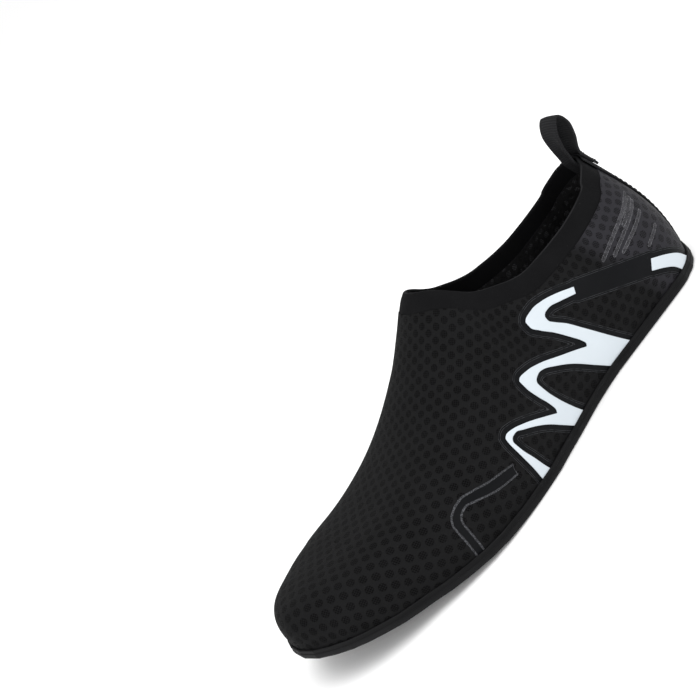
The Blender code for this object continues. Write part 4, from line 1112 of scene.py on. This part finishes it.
@dataclass
class Upper:
    """The knit upper: a sheet over the last with a wall inside it, open at the collar and over the sole."""

    last: Last
    design: FilmDesign
    wall: float = 0.0021
    below_rim: float = 0.0099
    columns: int = 260
    rows: int = 70
    flat_columns: int = 130
    flat_rows: int = 36
    seam_reach: float = 0.03
    middle_band: float = 0.012
    fore_start: tuple = (0.01, 0.03)
    surface: Optional[BVHTree] = None

    def sheet(self, columns: int, rows: int, below_rim: float) -> tuple[Array, Array, list, Array]:
        """Grid of the outer face, the outer side first.

        Args:
            columns: About how many columns on a side.
            rows: Rows from the sole to the band.
            below_rim: Distance of its upper edge from the collar's rim.

        Returns:
            Points, places along and up the wall, faces, and the columns' places.
        """
        t = self.last.even_columns(columns, max(below_rim, 0.0005))
        points, places, faces = [], [], []
        for side in Side:
            top = self.last.share_below_rim(t, side, below_rim) if below_rim else np.ones(len(t))
            share = np.linspace(0, 1, rows)
            points.append(self.last.wall_points(t, top[:, None] * share[None, :], side).reshape(-1, 3))
            grid = np.stack(np.meshgrid(t, share, indexing="ij"), -1).reshape(-1, 2)
            places.append(np.column_stack([grid, np.full(len(grid), side.value)]))
            start = 0 if side is Side.LATERAL else len(points[0])
            faces += grid_faces(len(t), rows, start, flipped=side is Side.LATERAL)
        return np.concatenate(points), np.concatenate(places), faces, t

    def flatten(self) -> tuple[Array, dict[Side, Array]]:
        """Flat pattern of the upper: where each place of a coarse grid lies in the cloth, in metres.

        Returns:
            The grid's places along the outline, and its flat points by side, columns by rows.
        """
        points, _, faces, t = self.sheet(self.flat_columns, self.flat_rows, self.below_rim)
        piece = mesh_piece("flat_pattern", points, faces, np.zeros((len(points), 2)))
        weld(piece)
        mesh = bmesh.new()
        mesh.from_mesh(piece.data)
        back = self.last.wall_points([0], np.array([0.5]), Side.LATERAL)[0, 0, 0] + self.seam_reach
        for edge in mesh.edges:
            edge.seam = all(abs(vert.co.y + self.last.shift[1]) < 1e-5 and vert.co.x < back
                            for vert in edge.verts)
        mesh.to_mesh(piece.data)
        mesh.free()
        pick(piece)
        bpy.ops.object.mode_set(mode="EDIT")
        bpy.ops.mesh.select_all(action="SELECT")
        bpy.ops.uv.unwrap(method="MINIMUM_STRETCH", correct_aspect=False)
        bpy.ops.object.mode_set(mode="OBJECT")
        data = piece.data
        corners = np.zeros(len(data.loops), np.int32)
        data.loops.foreach_get("vertex_index", corners)
        flat = np.zeros(2 * len(data.loops), np.float32)
        data.uv_layers.active.data.foreach_get("uv", flat)
        flat = flat.reshape(-1, 2).astype(float)
        where = np.zeros(3 * len(data.vertices), np.float32)
        data.vertices.foreach_get("co", where)
        where = where.reshape(-1, 3).astype(float)[corners]
        heads = np.array([polygon.loop_start for polygon in data.polygons])
        real = np.linalg.norm(where[heads] - where[heads + 1], axis=1)
        drawn = np.linalg.norm(flat[heads] - flat[heads + 1], axis=1)
        flat *= np.median(real) / np.median(drawn)
        middle = np.abs(where[:, 1] + self.last.shift[1]) < self.middle_band
        fore = middle & (where[:, 0] > self.fore_start[0]) & (where[:, 2] > self.fore_start[1])
        run = np.column_stack([where[fore, 0], np.ones(fore.sum())])
        slope = np.linalg.lstsq(run, flat[fore], rcond=None)[0][0]
        ahead = slope / np.hypot(*slope)
        turned = np.stack([flat @ ahead, flat @ np.array([-ahead[1], ahead[0]])], 1)
        turned -= turned[fore].mean(0)
        tree = {}
        for corner, place in zip(where, turned):
            tree.setdefault(tuple(np.round(corner, 6)), []).append(place)
        result = {}
        size = len(t) * self.flat_rows
        for index, side in enumerate(Side):
            grid = np.zeros((size, 2))
            keys = [tuple(np.round(np.float32(point).astype(float), 6))
                    for point in points[index * size:][:size]]
            for number, key in enumerate(keys):
                found = tree.get(key)
                if found is None:
                    grid[number] = np.nan
                else:
                    grid[number] = sorted(found, key=lambda place: -side.value * place[1])[0]
            result[side] = grid.reshape(len(t), self.flat_rows, 2)
        bpy.data.objects.remove(piece)
        return t, result

    def cloth_places(self, places: Array) -> Array:
        """UV place of each point, read from the flat pattern.

        Args:
            places: Place along, share up and side of each point.

        Returns:
            Flat place of each point, in metres.
        """
        t, flat = self.flatten()
        uv = np.zeros((len(places), 2))
        for side in Side:
            here = places[:, 2] == side.value
            column = np.interp(places[here, 0], t, np.arange(len(t)))
            row = places[here, 1] * (self.flat_rows - 1)
            i, j = np.minimum(column.astype(int), len(t) - 2), np.minimum(row.astype(int), self.flat_rows - 2)
            a, b = (column - i)[:, None], (row - j)[:, None]
            grid = flat[side]
            uv[here] = ((grid[i, j] * (1 - a) + grid[i + 1, j] * a) * (1 - b)
                        + (grid[i, j + 1] * (1 - a) + grid[i + 1, j + 1] * a) * b)
        return uv

    def side_view(self, points: Array) -> Array:
        """Points seen from the side, in millimetres from the heel and the floor."""
        return np.stack([points[:, 0] + self.last.shift[0], points[:, 2]], 1) / MM

    def marks(self, points: Array) -> dict[str, Array]:
        """Distances in millimetres to the films' edges, the hook and the strokes, and the heel quarter's share.

        Args:
            points: Points of the outer face.

        Returns:
            A number for each point, by the attribute's name.
        """
        seen = self.side_view(points)
        outlines = [self.design.outline(self.design.zigzag, self.last),
                    self.design.outline(self.design.heel_flash, self.last), np.array(self.design.strip)]
        border = np.full(len(points), 99.0)
        for outline in outlines:
            away = distance_to_line(seen, np.vstack([outline, outline[:1]]))
            away[is_inside(seen, outline)] *= -1
            border = np.minimum(border, away)
        outer, inner = (self.design.smooth(line) for line in (self.design.hook_outer, self.design.hook_inner))
        away = distance_to_line(seen, outer), distance_to_line(seen, inner)
        between = is_inside(seen, np.vstack([outer, inner[::-1]]))
        hook = HOOK_REACH + np.where(between, -1, 1) * np.minimum(*away)
        stroke = np.min([distance_to_line(seen, np.array(line)) for line in self.design.strokes], axis=0)
        quarter = ease((54 - seen[:, 0] + 0.35 * (seen[:, 1] - 25)) / 16)
        return {"border": border, "hook": hook, "stroke": stroke, "quarter": quarter}

    def build(self, wardrobe: Wardrobe) -> bpy.types.Object:
        """Makes the upper, with its pattern and marks."""
        points, places, faces, _ = self.sheet(self.columns, self.rows, self.below_rim)
        piece = mesh_piece("upper_knit_shell", points, faces, self.cloth_places(places))
        for name, numbers in self.marks(points).items():
            layer = piece.data.attributes.new(name, "FLOAT", "POINT")
            layer.data.foreach_set("value", np.asarray(numbers, np.float32))
        weld(piece)
        shell = piece.modifiers.new("Wall", "SOLIDIFY")
        shell.thickness = self.wall
        shell.offset = -1
        shell.material_offset = Surface.INSIDE.value
        piece.data.materials.append(wardrobe.knit)
        piece.data.materials.append(wardrobe.lining)
        apply_modifiers(piece)
        return finish_piece(piece, (wardrobe.knit, wardrobe.lining), ("upper",))

    def full_surface(self) -> BVHTree:
        """The outer face up to the rim, for placing what lies on it."""
        if self.surface is None:
            points, _, faces, _ = self.sheet(300, 80, 0.0)
            self.surface = BVHTree.FromPolygons([tuple(point) for point in points], faces)
        return self.surface


@dataclass
class Films:
    """White film overlays, draped over the upper."""

    upper: Upper
    lift: float = 0.00005
    thickness: float = 0.0004
    spacing: float = 1.1
    edge_share: float = 0.4
    ray_start: float = 0.2
    margin: float = 0.45

    def drape(self, name: str, outline: Array, side: Side) -> bpy.types.Object:
        """A film with this outline, laid on one side of the upper.

        Args:
            name: Name of the piece.
            outline: Outline seen from the side, in millimetres.
            side: Side of the shoe.

        Returns:
            The piece.
        """
        low, high = outline.min(0), outline.max(0)
        across, up = (np.arange(low[i], high[i], self.spacing) for i in (0, 1))
        grid = np.stack(np.meshgrid(across, up), -1).reshape(-1, 2)
        closed = np.vstack([outline, outline[:1]])
        grid = grid[is_inside(grid, outline) & (distance_to_line(grid, closed) > self.margin * self.spacing)]
        flat = [Vector(point) for point in np.vstack([outline, grid])]
        corners, _, faces, _, _, _ = delaunay_2d_cdt(flat, [], [list(range(len(outline)))], 1, 1e-5)
        surface, last = self.upper.full_surface(), self.upper.last
        points, kept = [], []
        for corner in corners:
            x, z = corner.x * MM - last.shift[0], corner.y * MM
            hit, normal, _, _ = surface.ray_cast(Vector((x, side.value * self.ray_start, z)),
                                                   Vector((0, -side.value, 0)))
            kept.append(hit is not None and hit.y * side.value > 0)
            points.append(hit + normal * self.lift if kept[-1] else Vector((x, 0, z)))
        used = [face for face in faces if all(kept[corner] for corner in face)]
        if side is Side.LATERAL:
            used = [face[::-1] for face in used]
        piece = mesh_piece(name, np.array([tuple(point) for point in points]), used,
                           np.array([(corner.x, corner.y) for corner in corners]) * MM)
        mesh = bmesh.new()
        mesh.from_mesh(piece.data)
        bmesh.ops.delete(mesh, geom=[vert for vert in mesh.verts if not vert.link_faces], context="VERTS")
        mesh.normal_update()
        outward = sum(face.normal.y * face.calc_area() for face in mesh.faces) * side.value
        if outward < 0:
            bmesh.ops.reverse_faces(mesh, faces=mesh.faces)
        mesh.to_mesh(piece.data)
        mesh.free()
        thicken(piece, self.thickness, 1, self.edge_share)
        return piece

    def build(self, wardrobe: Wardrobe) -> None:
        """Makes the zigzag and the heel flash on both sides."""
        design, last = self.upper.design, self.upper.last
        for side in Side:
            word = side.name.lower()
            for title, runs in (("zigzag_film_", design.zigzag), ("heel_flash_", design.heel_flash)):
                piece = self.drape(title + word + "_sheet", design.outline(runs, last), side)
                finish_piece(piece, (wardrobe.film,), (title + word,), angle=60)


@dataclass
class CollarBand:
    """Elastic band round the collar, with a rolled rim."""

    upper: Upper
    width: float = 0.0101
    sink: float = 0.0003
    wall: float = 0.0017
    steps: int = 12
    wave: float = 0.00025

    def march(self) -> tuple[Array, Array, Array]:
        """Walks down the outer face from the rim.

        Returns:
            Points and outward directions, round by down by 3, and the distance walked round the rim.
        """
        surface = self.upper.full_surface()
        rim = self.upper.last.rim_line()
        along = unit(np.roll(rim, -1, axis=0) - np.roll(rim, 1, axis=0))
        distances = np.append(0, np.cumsum(np.linalg.norm(np.diff(rim, axis=0), axis=1)))
        points, normals = [], []
        turns = np.linspace(0, math.tau, len(rim), endpoint=False)
        uneven = np.sin(11 * turns + 0.6) + 0.7 * np.sin(23 * turns) + 0.5 * np.sin(41 * turns)
        widths = self.width + self.wave * uneven
        for start, forward, width in zip(rim, along, widths):
            here, column, outs = Vector(start), [], []
            ahead = Vector(forward)
            for _ in range(self.steps + 1):
                hit, normal, _, _ = surface.find_nearest(here)
                column.append(tuple(hit))
                outs.append(tuple(normal))
                down = ahead.cross(normal).normalized()
                here = hit + down * (width / self.steps)
            points.append(column)
            normals.append(outs)
        return np.array(points), np.array(normals), distances

    def build(self, wardrobe: Wardrobe) -> bpy.types.Object:
        """Makes the band as a closed roll round the rim."""
        points, normals, around = self.march()
        smooth = normals.copy()
        for _ in range(3):
            smooth = unit(0.25 * np.roll(smooth, 1, axis=0) + 0.5 * smooth + 0.25 * np.roll(smooth, -1, axis=0))
        radius = self.wall / 2
        inner_depth = self.sink + self.wall
        uv, place = [], 0.0
        outer = [points[:, k] - smooth[:, k] * self.sink for k in range(self.steps, 0, -1)]
        inner = [points[:, k] - smooth[:, k] * inner_depth for k in range(1, self.steps + 1)]
        centre = points[:, 1] - smooth[:, 1] * (self.sink + radius)
        up = unit(points[:, 0] - points[:, 1])
        turned = [centre + smooth[:, 1] * radius * math.cos(a) + up * radius * math.sin(a)
                  for a in np.linspace(0, math.pi, 9)[1:-1]]
        low = points[:, -1] - smooth[:, -1] * (self.sink + radius)
        down = unit(points[:, -1] - points[:, -2])
        closed = [low - smooth[:, -1] * radius * math.cos(a) + down * radius * 0.6 * math.sin(a)
                  for a in np.linspace(0, math.pi, 7)[1:-1]]
        rows = outer + turned + inner + closed
        for here, before in zip(rows, [rows[0]] + rows[:-1]):
            place += float(np.linalg.norm(here - before, axis=1).mean())
            uv.append(np.stack([around, np.full(len(around), place)], 1))
        grid = np.array(rows)
        piece = mesh_piece("collar_band_roll", grid.reshape(-1, 3),
                           grid_faces(len(rows), grid.shape[1], round_rows=True, round_columns=True),
                           np.array(uv).reshape(-1, 2))
        # Rows over the top of the roll, which the elastic's finish lightens as a painted highlight
        rim = np.zeros((len(rows), len(around)))
        rim[len(outer) + 1:len(outer) + 4] = 1
        mark = piece.data.attributes.new("rim", "FLOAT", "POINT")
        mark.data.foreach_set("value", rim.astype(np.float32).ravel())
        weld(piece, outward=True)
        return finish_piece(piece, (wardrobe.elastic,), ("collar_band",))


@dataclass
class HeelWebbing:
    """The tape up the back seam and the pull loop over the rim, and where they are sewn."""

    last: Last
    tape_top: float = 0.020
    tape_low: float = 0.027
    tape_wall: float = 0.0008
    loop_width: float = 0.0138
    loop_wall: float = 0.0012
    loop_rise: float = 0.022
    loop_gap: float = 0.0075
    loop_hold: float = 0.010
    loop_lean: float = 0.10
    edge_share: float = 0.3
    tape_seam: float = 0.0013
    loop_seam: float = 0.001
    loop_rows: tuple = (0.0015, 0.0082)
    tape_rise: float = 0.0012
    tape_end: float = 0.985
    tape_sewn: tuple = (0.10, 0.97)
    upper_wall: float = 0.0022
    bow: tuple = ((0.14, 0.62), (0.38, 0.95), (0.62, 1.02), (0.84, 0.72), (1.00, 0.00), (0.88, -0.66),
                  (0.66, -1.00), (0.40, -0.92), (0.14, -0.66))

    def strip(self, half_width: Array, v: Array, side: Side, count: int) -> tuple[Array, Array]:
        """Strip up the middle of the heel.

        Args:
            half_width: Half the width at each row.
            v: Share of the wall's height at each row.
            side: Side of the shoe.
            count: Columns across the half strip.

        Returns:
            Points and outward directions, columns by rows by 3.
        """
        centre = np.array(self.last.spine_point(0.0)) - self.last.shift[:2]
        reach = np.hypot(*(self.last.wall_points([0], v, Side.LATERAL)[0, :, :2] - centre).T)
        turn = np.degrees(half_width / reach)
        places = turn / (180 - self.last.sections["heel_turn"][2]) * self.last.along["heel_turn"]
        places = places[None, :] * np.linspace(0, 1, count)[:, None]
        points = [self.last.wall_points(places[:, i], v[i:i + 1], side) for i in range(len(v))]
        normals = [self.last.wall_normals(places[:, i], v[i:i + 1], side) for i in range(len(v))]
        return np.concatenate(points, axis=1), np.concatenate(normals, axis=1)

    def lay(self, name: str, halves: dict[Side, Array], width: float, wall: float, outward: bool
            ) -> bpy.types.Object:
        """Thickens two halves of a strip into a piece with rounded edges.

        Args:
            name: Name of the piece.
            halves: Points by side, columns by rows by 3.
            width: Width of the strip, for its UV map.
            wall: Thickness.
            outward: Whether the thickness lies all outside the points.

        Returns:
            The piece.
        """
        points, uv, faces = [], [], []
        for side, grid in halves.items():
            count, rows = grid.shape[:2]
            run = np.append(0, np.cumsum(np.linalg.norm(np.diff(grid[0], axis=0), axis=1)))
            across = side.value * np.linspace(0, width / 2, count)
            points.append(grid.reshape(-1, 3))
            uv.append(np.stack(np.meshgrid(across, run, indexing="ij"), -1).reshape(-1, 2))
            start = 0 if side is Side.LATERAL else count * rows
            faces += grid_faces(count, rows, start, flipped=side is Side.LATERAL)
        piece = mesh_piece(name, np.concatenate(points), faces, np.concatenate(uv))
        weld(piece)
        thicken(piece, wall, 1 if outward else 0, self.edge_share)
        return piece

    def build_tape(self, wardrobe: Wardrobe) -> bpy.types.Object:
        """Makes the tape, wider towards the sole."""
        shares = np.linspace(0, 0.3, 31)
        column = self.last.wall_points([0], shares, Side.LATERAL)[0]
        low = np.interp(self.last.lip_height + 2 * self.last.clearance + self.tape_rise, column[:, 2], shares)
        v = np.linspace(low, self.tape_end, 60)
        half = np.linspace(self.tape_low, self.tape_top, 60) / 2
        halves = {}
        for side in Side:
            points, normals = self.strip(half, v, side, 12)
            halves[side] = points + normals * self.last.clearance
        piece = self.lay("heel_tape_webbing", halves, self.tape_low, self.tape_wall, True)
        return finish_piece(piece, (wardrobe.webbing,), ("heel_tape",))

    def loop_path(self, steps: int) -> tuple[Array, Array]:
        """Rise over the rim and distance out from the heel's face of the loop's middle, from its outer end."""
        outer = 2 * self.last.clearance + self.tape_wall + self.loop_wall / 2
        inner = -(self.upper_wall + self.last.clearance + self.loop_wall / 2)
        middle, half = (outer + inner) / 2, (self.loop_gap + self.loop_wall) / 2
        ends = [(-self.loop_hold, outer), (-self.loop_hold / 2, outer), (0, outer)]
        top = self.loop_rise - self.loop_wall / 2
        bow = [(rise * top, middle + bulge * half) for rise, bulge in self.bow]
        path = np.array(ends + bow + [(rise, inner) for rise, _ in ends[::-1]])
        place = np.append(0, np.cumsum(np.hypot(*np.diff(path, axis=0).T)))
        fine = np.linspace(0, place[-1], steps + 1)
        rise = smooth_curve(place, path[:, 0], fine, flat_ends=False)
        out = smooth_curve(place, path[:, 1], fine, flat_ends=False)
        return rise, out + self.loop_lean * np.maximum(rise, 0)

    def build_loop(self, wardrobe: Wardrobe) -> bpy.types.Object:
        """Makes the pull loop, curved as the heel is at its ends and flat at its top."""
        rise, out = self.loop_path(110)
        shares = np.linspace(0.5, 1, 60)
        height = self.last.wall_points([0], shares, Side.LATERAL)[0, :, 2]
        v = np.interp(height[-1] + np.minimum(rise, 0), height, shares)
        flat = ease(rise / self.loop_rise)[None, :, None]
        halves = {}
        for side in Side:
            points, normals = self.strip(np.full(len(v), self.loop_width / 2), v, side, 10)
            normals = unit(normals * (1 - flat) + np.array([-1.0, 0, 0]) * flat)
            points[..., 0] += (points[:1, :, 0] - points[..., 0]) * flat[..., 0]
            points = points + normals * out[None, :, None]
            points[..., 2] += np.maximum(rise, 0)
            halves[side] = points
        piece = self.lay("pull_loop_webbing", halves, self.loop_width, self.loop_wall, False)
        return finish_piece(piece, (wardrobe.webbing,), ("pull_loop",))

    def sew(self, stitches: "Stitches") -> None:
        """Sews the loop's outer leg to the heel, and the tape's edges to the knit."""
        shares = np.linspace(0.5, 1, 60)
        height = self.last.wall_points([0], shares, Side.LATERAL)[0, :, 2]
        out = 2 * self.last.clearance + self.tape_wall + self.loop_wall
        for number, drop in enumerate(self.loop_rows):
            v = np.full(1, np.interp(height[-1] - drop, height, shares))
            half = np.full(1, self.loop_width / 2 - self.loop_seam)
            halves = [self.strip(half, v, side, 8) for side in Side]
            line = np.concatenate([halves[0][0][::-1, 0], halves[1][0][1:, 0]])
            normals = np.concatenate([halves[0][1][::-1, 0], halves[1][1][1:, 0]])
            stitches.row("loop_stitches_%d" % (number + 1), line + normals * out, normals)
        v = np.linspace(*self.tape_sewn, 50)
        half = np.linspace(self.tape_low, self.tape_top, 50) / 2 - self.tape_seam
        for side in Side:
            points, normals = (grid[-1] for grid in self.strip(half, v, side, 2))
            out = self.last.clearance + self.tape_wall
            stitches.row("tape_stitches_" + side.name.lower(), points + normals * out, normals)


@dataclass
class Stitches:
    """Thread stitches: one is modelled, and each row is its copies joined into a piece."""

    wardrobe: Wardrobe
    length: float = 0.0019
    thickness: float = 0.0004
    gap: float = 0.0009
    rounding: float = 0.35
    look_ahead: float = 0.0005

    def first(self) -> bpy.types.Object:
        """The stitch that the others are copied from, lying along X."""
        bpy.ops.object.select_all(action="DESELECT")
        bpy.ops.mesh.primitive_cylinder_add(vertices=10, radius=self.thickness / 2, depth=self.length)
        stitch = bpy.context.object
        stitch.name = "thread_stitch"
        bpy.ops.object.mode_set(mode="EDIT")
        bpy.ops.mesh.select_all(action="SELECT")
        bpy.ops.transform.rotate(value=math.pi / 2, orient_axis="Y", center_override=(0, 0, 0))
        bpy.ops.mesh.bevel(offset=self.thickness * self.rounding, segments=3, affect="EDGES")
        bpy.ops.object.mode_set(mode="OBJECT")
        return stitch

    def row(self, name: str, line: Array, normals: Array, sink: float = 0.00008) -> bpy.types.Object:
        """A row of stitches along a line.

        Args:
            name: Name of the piece.
            line: Points of the line, n by 3.
            normals: Outward directions there.
            sink: How far the thread's middle lies over the cloth.

        Returns:
            The piece.
        """
        place = np.append(0, np.cumsum(np.linalg.norm(np.diff(line, axis=0), axis=1)))
        count = max(int(place[-1] / (self.length + self.gap)), 2)
        where = np.linspace(self.length / 2, place[-1] - self.length / 2, count)
        stitch = self.first()
        copies = []
        for at in where:
            centre, ahead, behind, normal = (
                np.array([np.interp(at + step, place, part[:, i]) for i in range(3)])
                for step, part in ((0, line), (self.look_ahead, line), (-self.look_ahead, line), (0, normals)))
            forward = Vector(ahead - behind).normalized()
            over = Vector(normal).normalized()
            aside = over.cross(forward).normalized()
            turn = Matrix((forward, aside, forward.cross(aside))).transposed().to_4x4()
            copy = bpy.data.objects.new(name, stitch.data.copy())
            copy.data.transform(Matrix.Translation(Vector(centre) + over * sink) @ turn)
            bpy.context.scene.collection.objects.link(copy)
            copies.append(copy)
        bpy.data.objects.remove(stitch)
        bpy.ops.object.select_all(action="DESELECT")
        for copy in copies:
            copy.select_set(True)
        bpy.context.view_layer.objects.active = copies[0]
        bpy.ops.object.join()
        piece = bpy.context.object
        piece.name = name
        return finish_piece(piece, (self.wardrobe.thread,))


@dataclass
class Insole:
    """Cloth-covered foam insole."""

    last: Last
    thickness: float = 0.0025
    upper_wall: float = 0.0022
    columns: int = 160

    def build(self, wardrobe: Wardrobe) -> bpy.types.Object:
        """Makes the insole as a closed pad with a rounded edge."""
        last, t = self.last, np.linspace(0, 1, self.columns)
        points, uv, faces = [], [], []
        low = last.sole_floor + last.clearance
        r = self.thickness / 2
        for side in Side:
            edge = last.reach_to_edge(t, side) - last.seat_inset(t, side) - self.upper_wall - 2 * last.clearance
            profile = [(0.0, low), (0.4, low), (0.8, low)]
            reach = [edge * share for share, _ in profile]
            height = [level for _, level in profile]
            for angle in np.linspace(-90, 90, 9):
                reach.append(edge - r + r * math.cos(math.radians(angle)))
                height.append(low + r + r * math.sin(math.radians(angle)))
            for share in (0.9, 0.75, 0.6, 0.45, 0.3, 0.15, 0.0):
                reach.append((edge - r) * share)
                height.append(low + 2 * r)
            reach = np.stack(reach, 1)
            x, y = last.spine_point(t)
            dx, dy = last.direction(t, side)
            px, py = x[:, None] + dx[:, None] * reach, y[:, None] + dy[:, None] * reach
            grid = np.stack([px, py, last.underside(px, py) + np.array(height)], -1) - last.shift
            start = 0 if side is Side.LATERAL else points[0].shape[0]
            faces += grid_faces(len(t), grid.shape[1], start, flipped=side is Side.LATERAL)
            points.append(grid.reshape(-1, 3))
            uv.append(grid[..., :2].reshape(-1, 2))
        piece = mesh_piece("insole_pad", np.concatenate(points), faces, np.concatenate(uv))
        weld(piece, outward=True)
        finish_piece(piece, (wardrobe.insole,), ("insole",))
        return piece


@dataclass(frozen=True)
class Viewpoint:
    """Camera at the photograph's angle to the shoe, and where it holds a point of the shoe in the picture."""

    azimuth: float = math.radians(24.879)
    elevation: float = math.radians(24.054)
    roll: float = math.radians(-40.627)
    distance: float = 0.79162
    target: tuple = (-0.0010, 0.00063, 0.034933)
    pixel: tuple = (469.05, 396.92)
    focal: float = 1773.2
    picture: int = 700

    def build(self) -> None:
        """Makes the camera and the scene's view."""
        data = bpy.data.cameras.new("photo_view")
        data.sensor_fit = "HORIZONTAL"
        data.sensor_width = 36.0
        data.lens = 36.0 * self.focal / self.picture
        data.clip_end = 30
        cos_up = math.cos(self.elevation)
        back = Vector((math.sin(self.azimuth) * cos_up, math.cos(self.azimuth) * cos_up,
                       math.sin(self.elevation)))
        right = Vector((0, 0, 1)).cross(back).normalized()
        over = back.cross(right)
        cos_roll, sin_roll = math.cos(self.roll), math.sin(self.roll)
        x, y = right * cos_roll + over * sin_roll, over * cos_roll - right * sin_roll
        basis = Matrix((x, y, back)).transposed()
        aim = Vector(((self.pixel[0] - self.picture / 2) / self.focal,
                      -(self.pixel[1] - self.picture / 2) / self.focal, -1))
        turn = Vector((0, 0, -1)).rotation_difference(aim).to_matrix()
        camera = bpy.data.objects.new("photo_view", data)
        camera.matrix_world = Matrix.Translation(Vector(self.target) + back * self.distance) @ (
            basis @ turn.inverted()).to_4x4()
        bpy.context.scene.collection.objects.link(camera)
        bpy.context.scene.camera = camera


@dataclass
class Studio:
    """Pale floor, soft lamps and an even pale surround."""

    floor_radius: float = 9.0
    lamps: tuple = (("overhead", (0.1, 0.3, 1.6), (0, 0, 0), 1.6, 14),
                    ("toe_side", (0.9, 1.1, 0.4), (0.08, 0.03, 0.0), 0.8, 7),
                    ("heel_side", (-1.2, 0.9, 0.9), (-0.05, 0, 0.04), 0.9, 5))
    surround: float = 1.02

    def lamp(self, name: str, place: tuple, aim: tuple, size: float, power: float) -> None:
        """One soft square lamp.

        Args:
            name: Name of the lamp.
            place: Where it hangs.
            aim: What it points at.
            size: Width of its face.
            power: Watts.
        """
        data = bpy.data.lights.new(name, "AREA")
        data.size = size
        data.energy = power
        lamp = bpy.data.objects.new(name, data)
        away = Vector(place) - Vector(aim)
        lamp.matrix_world = Matrix.Translation(place) @ away.to_track_quat("Z", "Y").to_matrix().to_4x4()
        bpy.context.scene.collection.objects.link(lamp)

    def build(self, wardrobe: Wardrobe) -> None:
        """Makes the floor, the lamps and the surround."""
        bpy.ops.object.select_all(action="DESELECT")
        bpy.ops.mesh.primitive_circle_add(vertices=96, radius=self.floor_radius, fill_type="NGON")
        floor = bpy.context.object
        floor.name = "studio_floor"
        floor.data.materials.append(wardrobe.floor)
        for lamp in self.lamps:
            self.lamp(*lamp)
        world = bpy.data.worlds.new("surround")
        world.use_nodes = True
        world.node_tree.nodes["Background"].inputs["Color"].default_value = (1, 1, 1, 1)
        world.node_tree.nodes["Background"].inputs["Strength"].default_value = self.surround
        bpy.context.scene.world = world
        bpy.context.scene.view_settings.view_transform = "Standard"


def main() -> None:
    """Builds the scene."""
    logging.basicConfig(level=logging.INFO, format="%(message)s")
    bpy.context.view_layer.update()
    bpy.ops.object.select_all(action="DESELECT")
    Viewpoint().build()
    wardrobe = Wardrobe()
    Studio().build(wardrobe)
    last = Last()
    upper = Upper(last, FilmDesign())
    upper.build(wardrobe)
    Films(upper).build(wardrobe)
    CollarBand(upper).build(wardrobe)
    webbing = HeelWebbing(last)
    webbing.build_tape(wardrobe)
    webbing.build_loop(wardrobe)
    webbing.sew(Stitches(wardrobe))
    Insole(last).build(wardrobe)
    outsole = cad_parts["outsole"]
    outsole.data.materials.clear()
    outsole.data.materials.append(wardrobe.rubber)


if __name__ == "__main__":
    main()
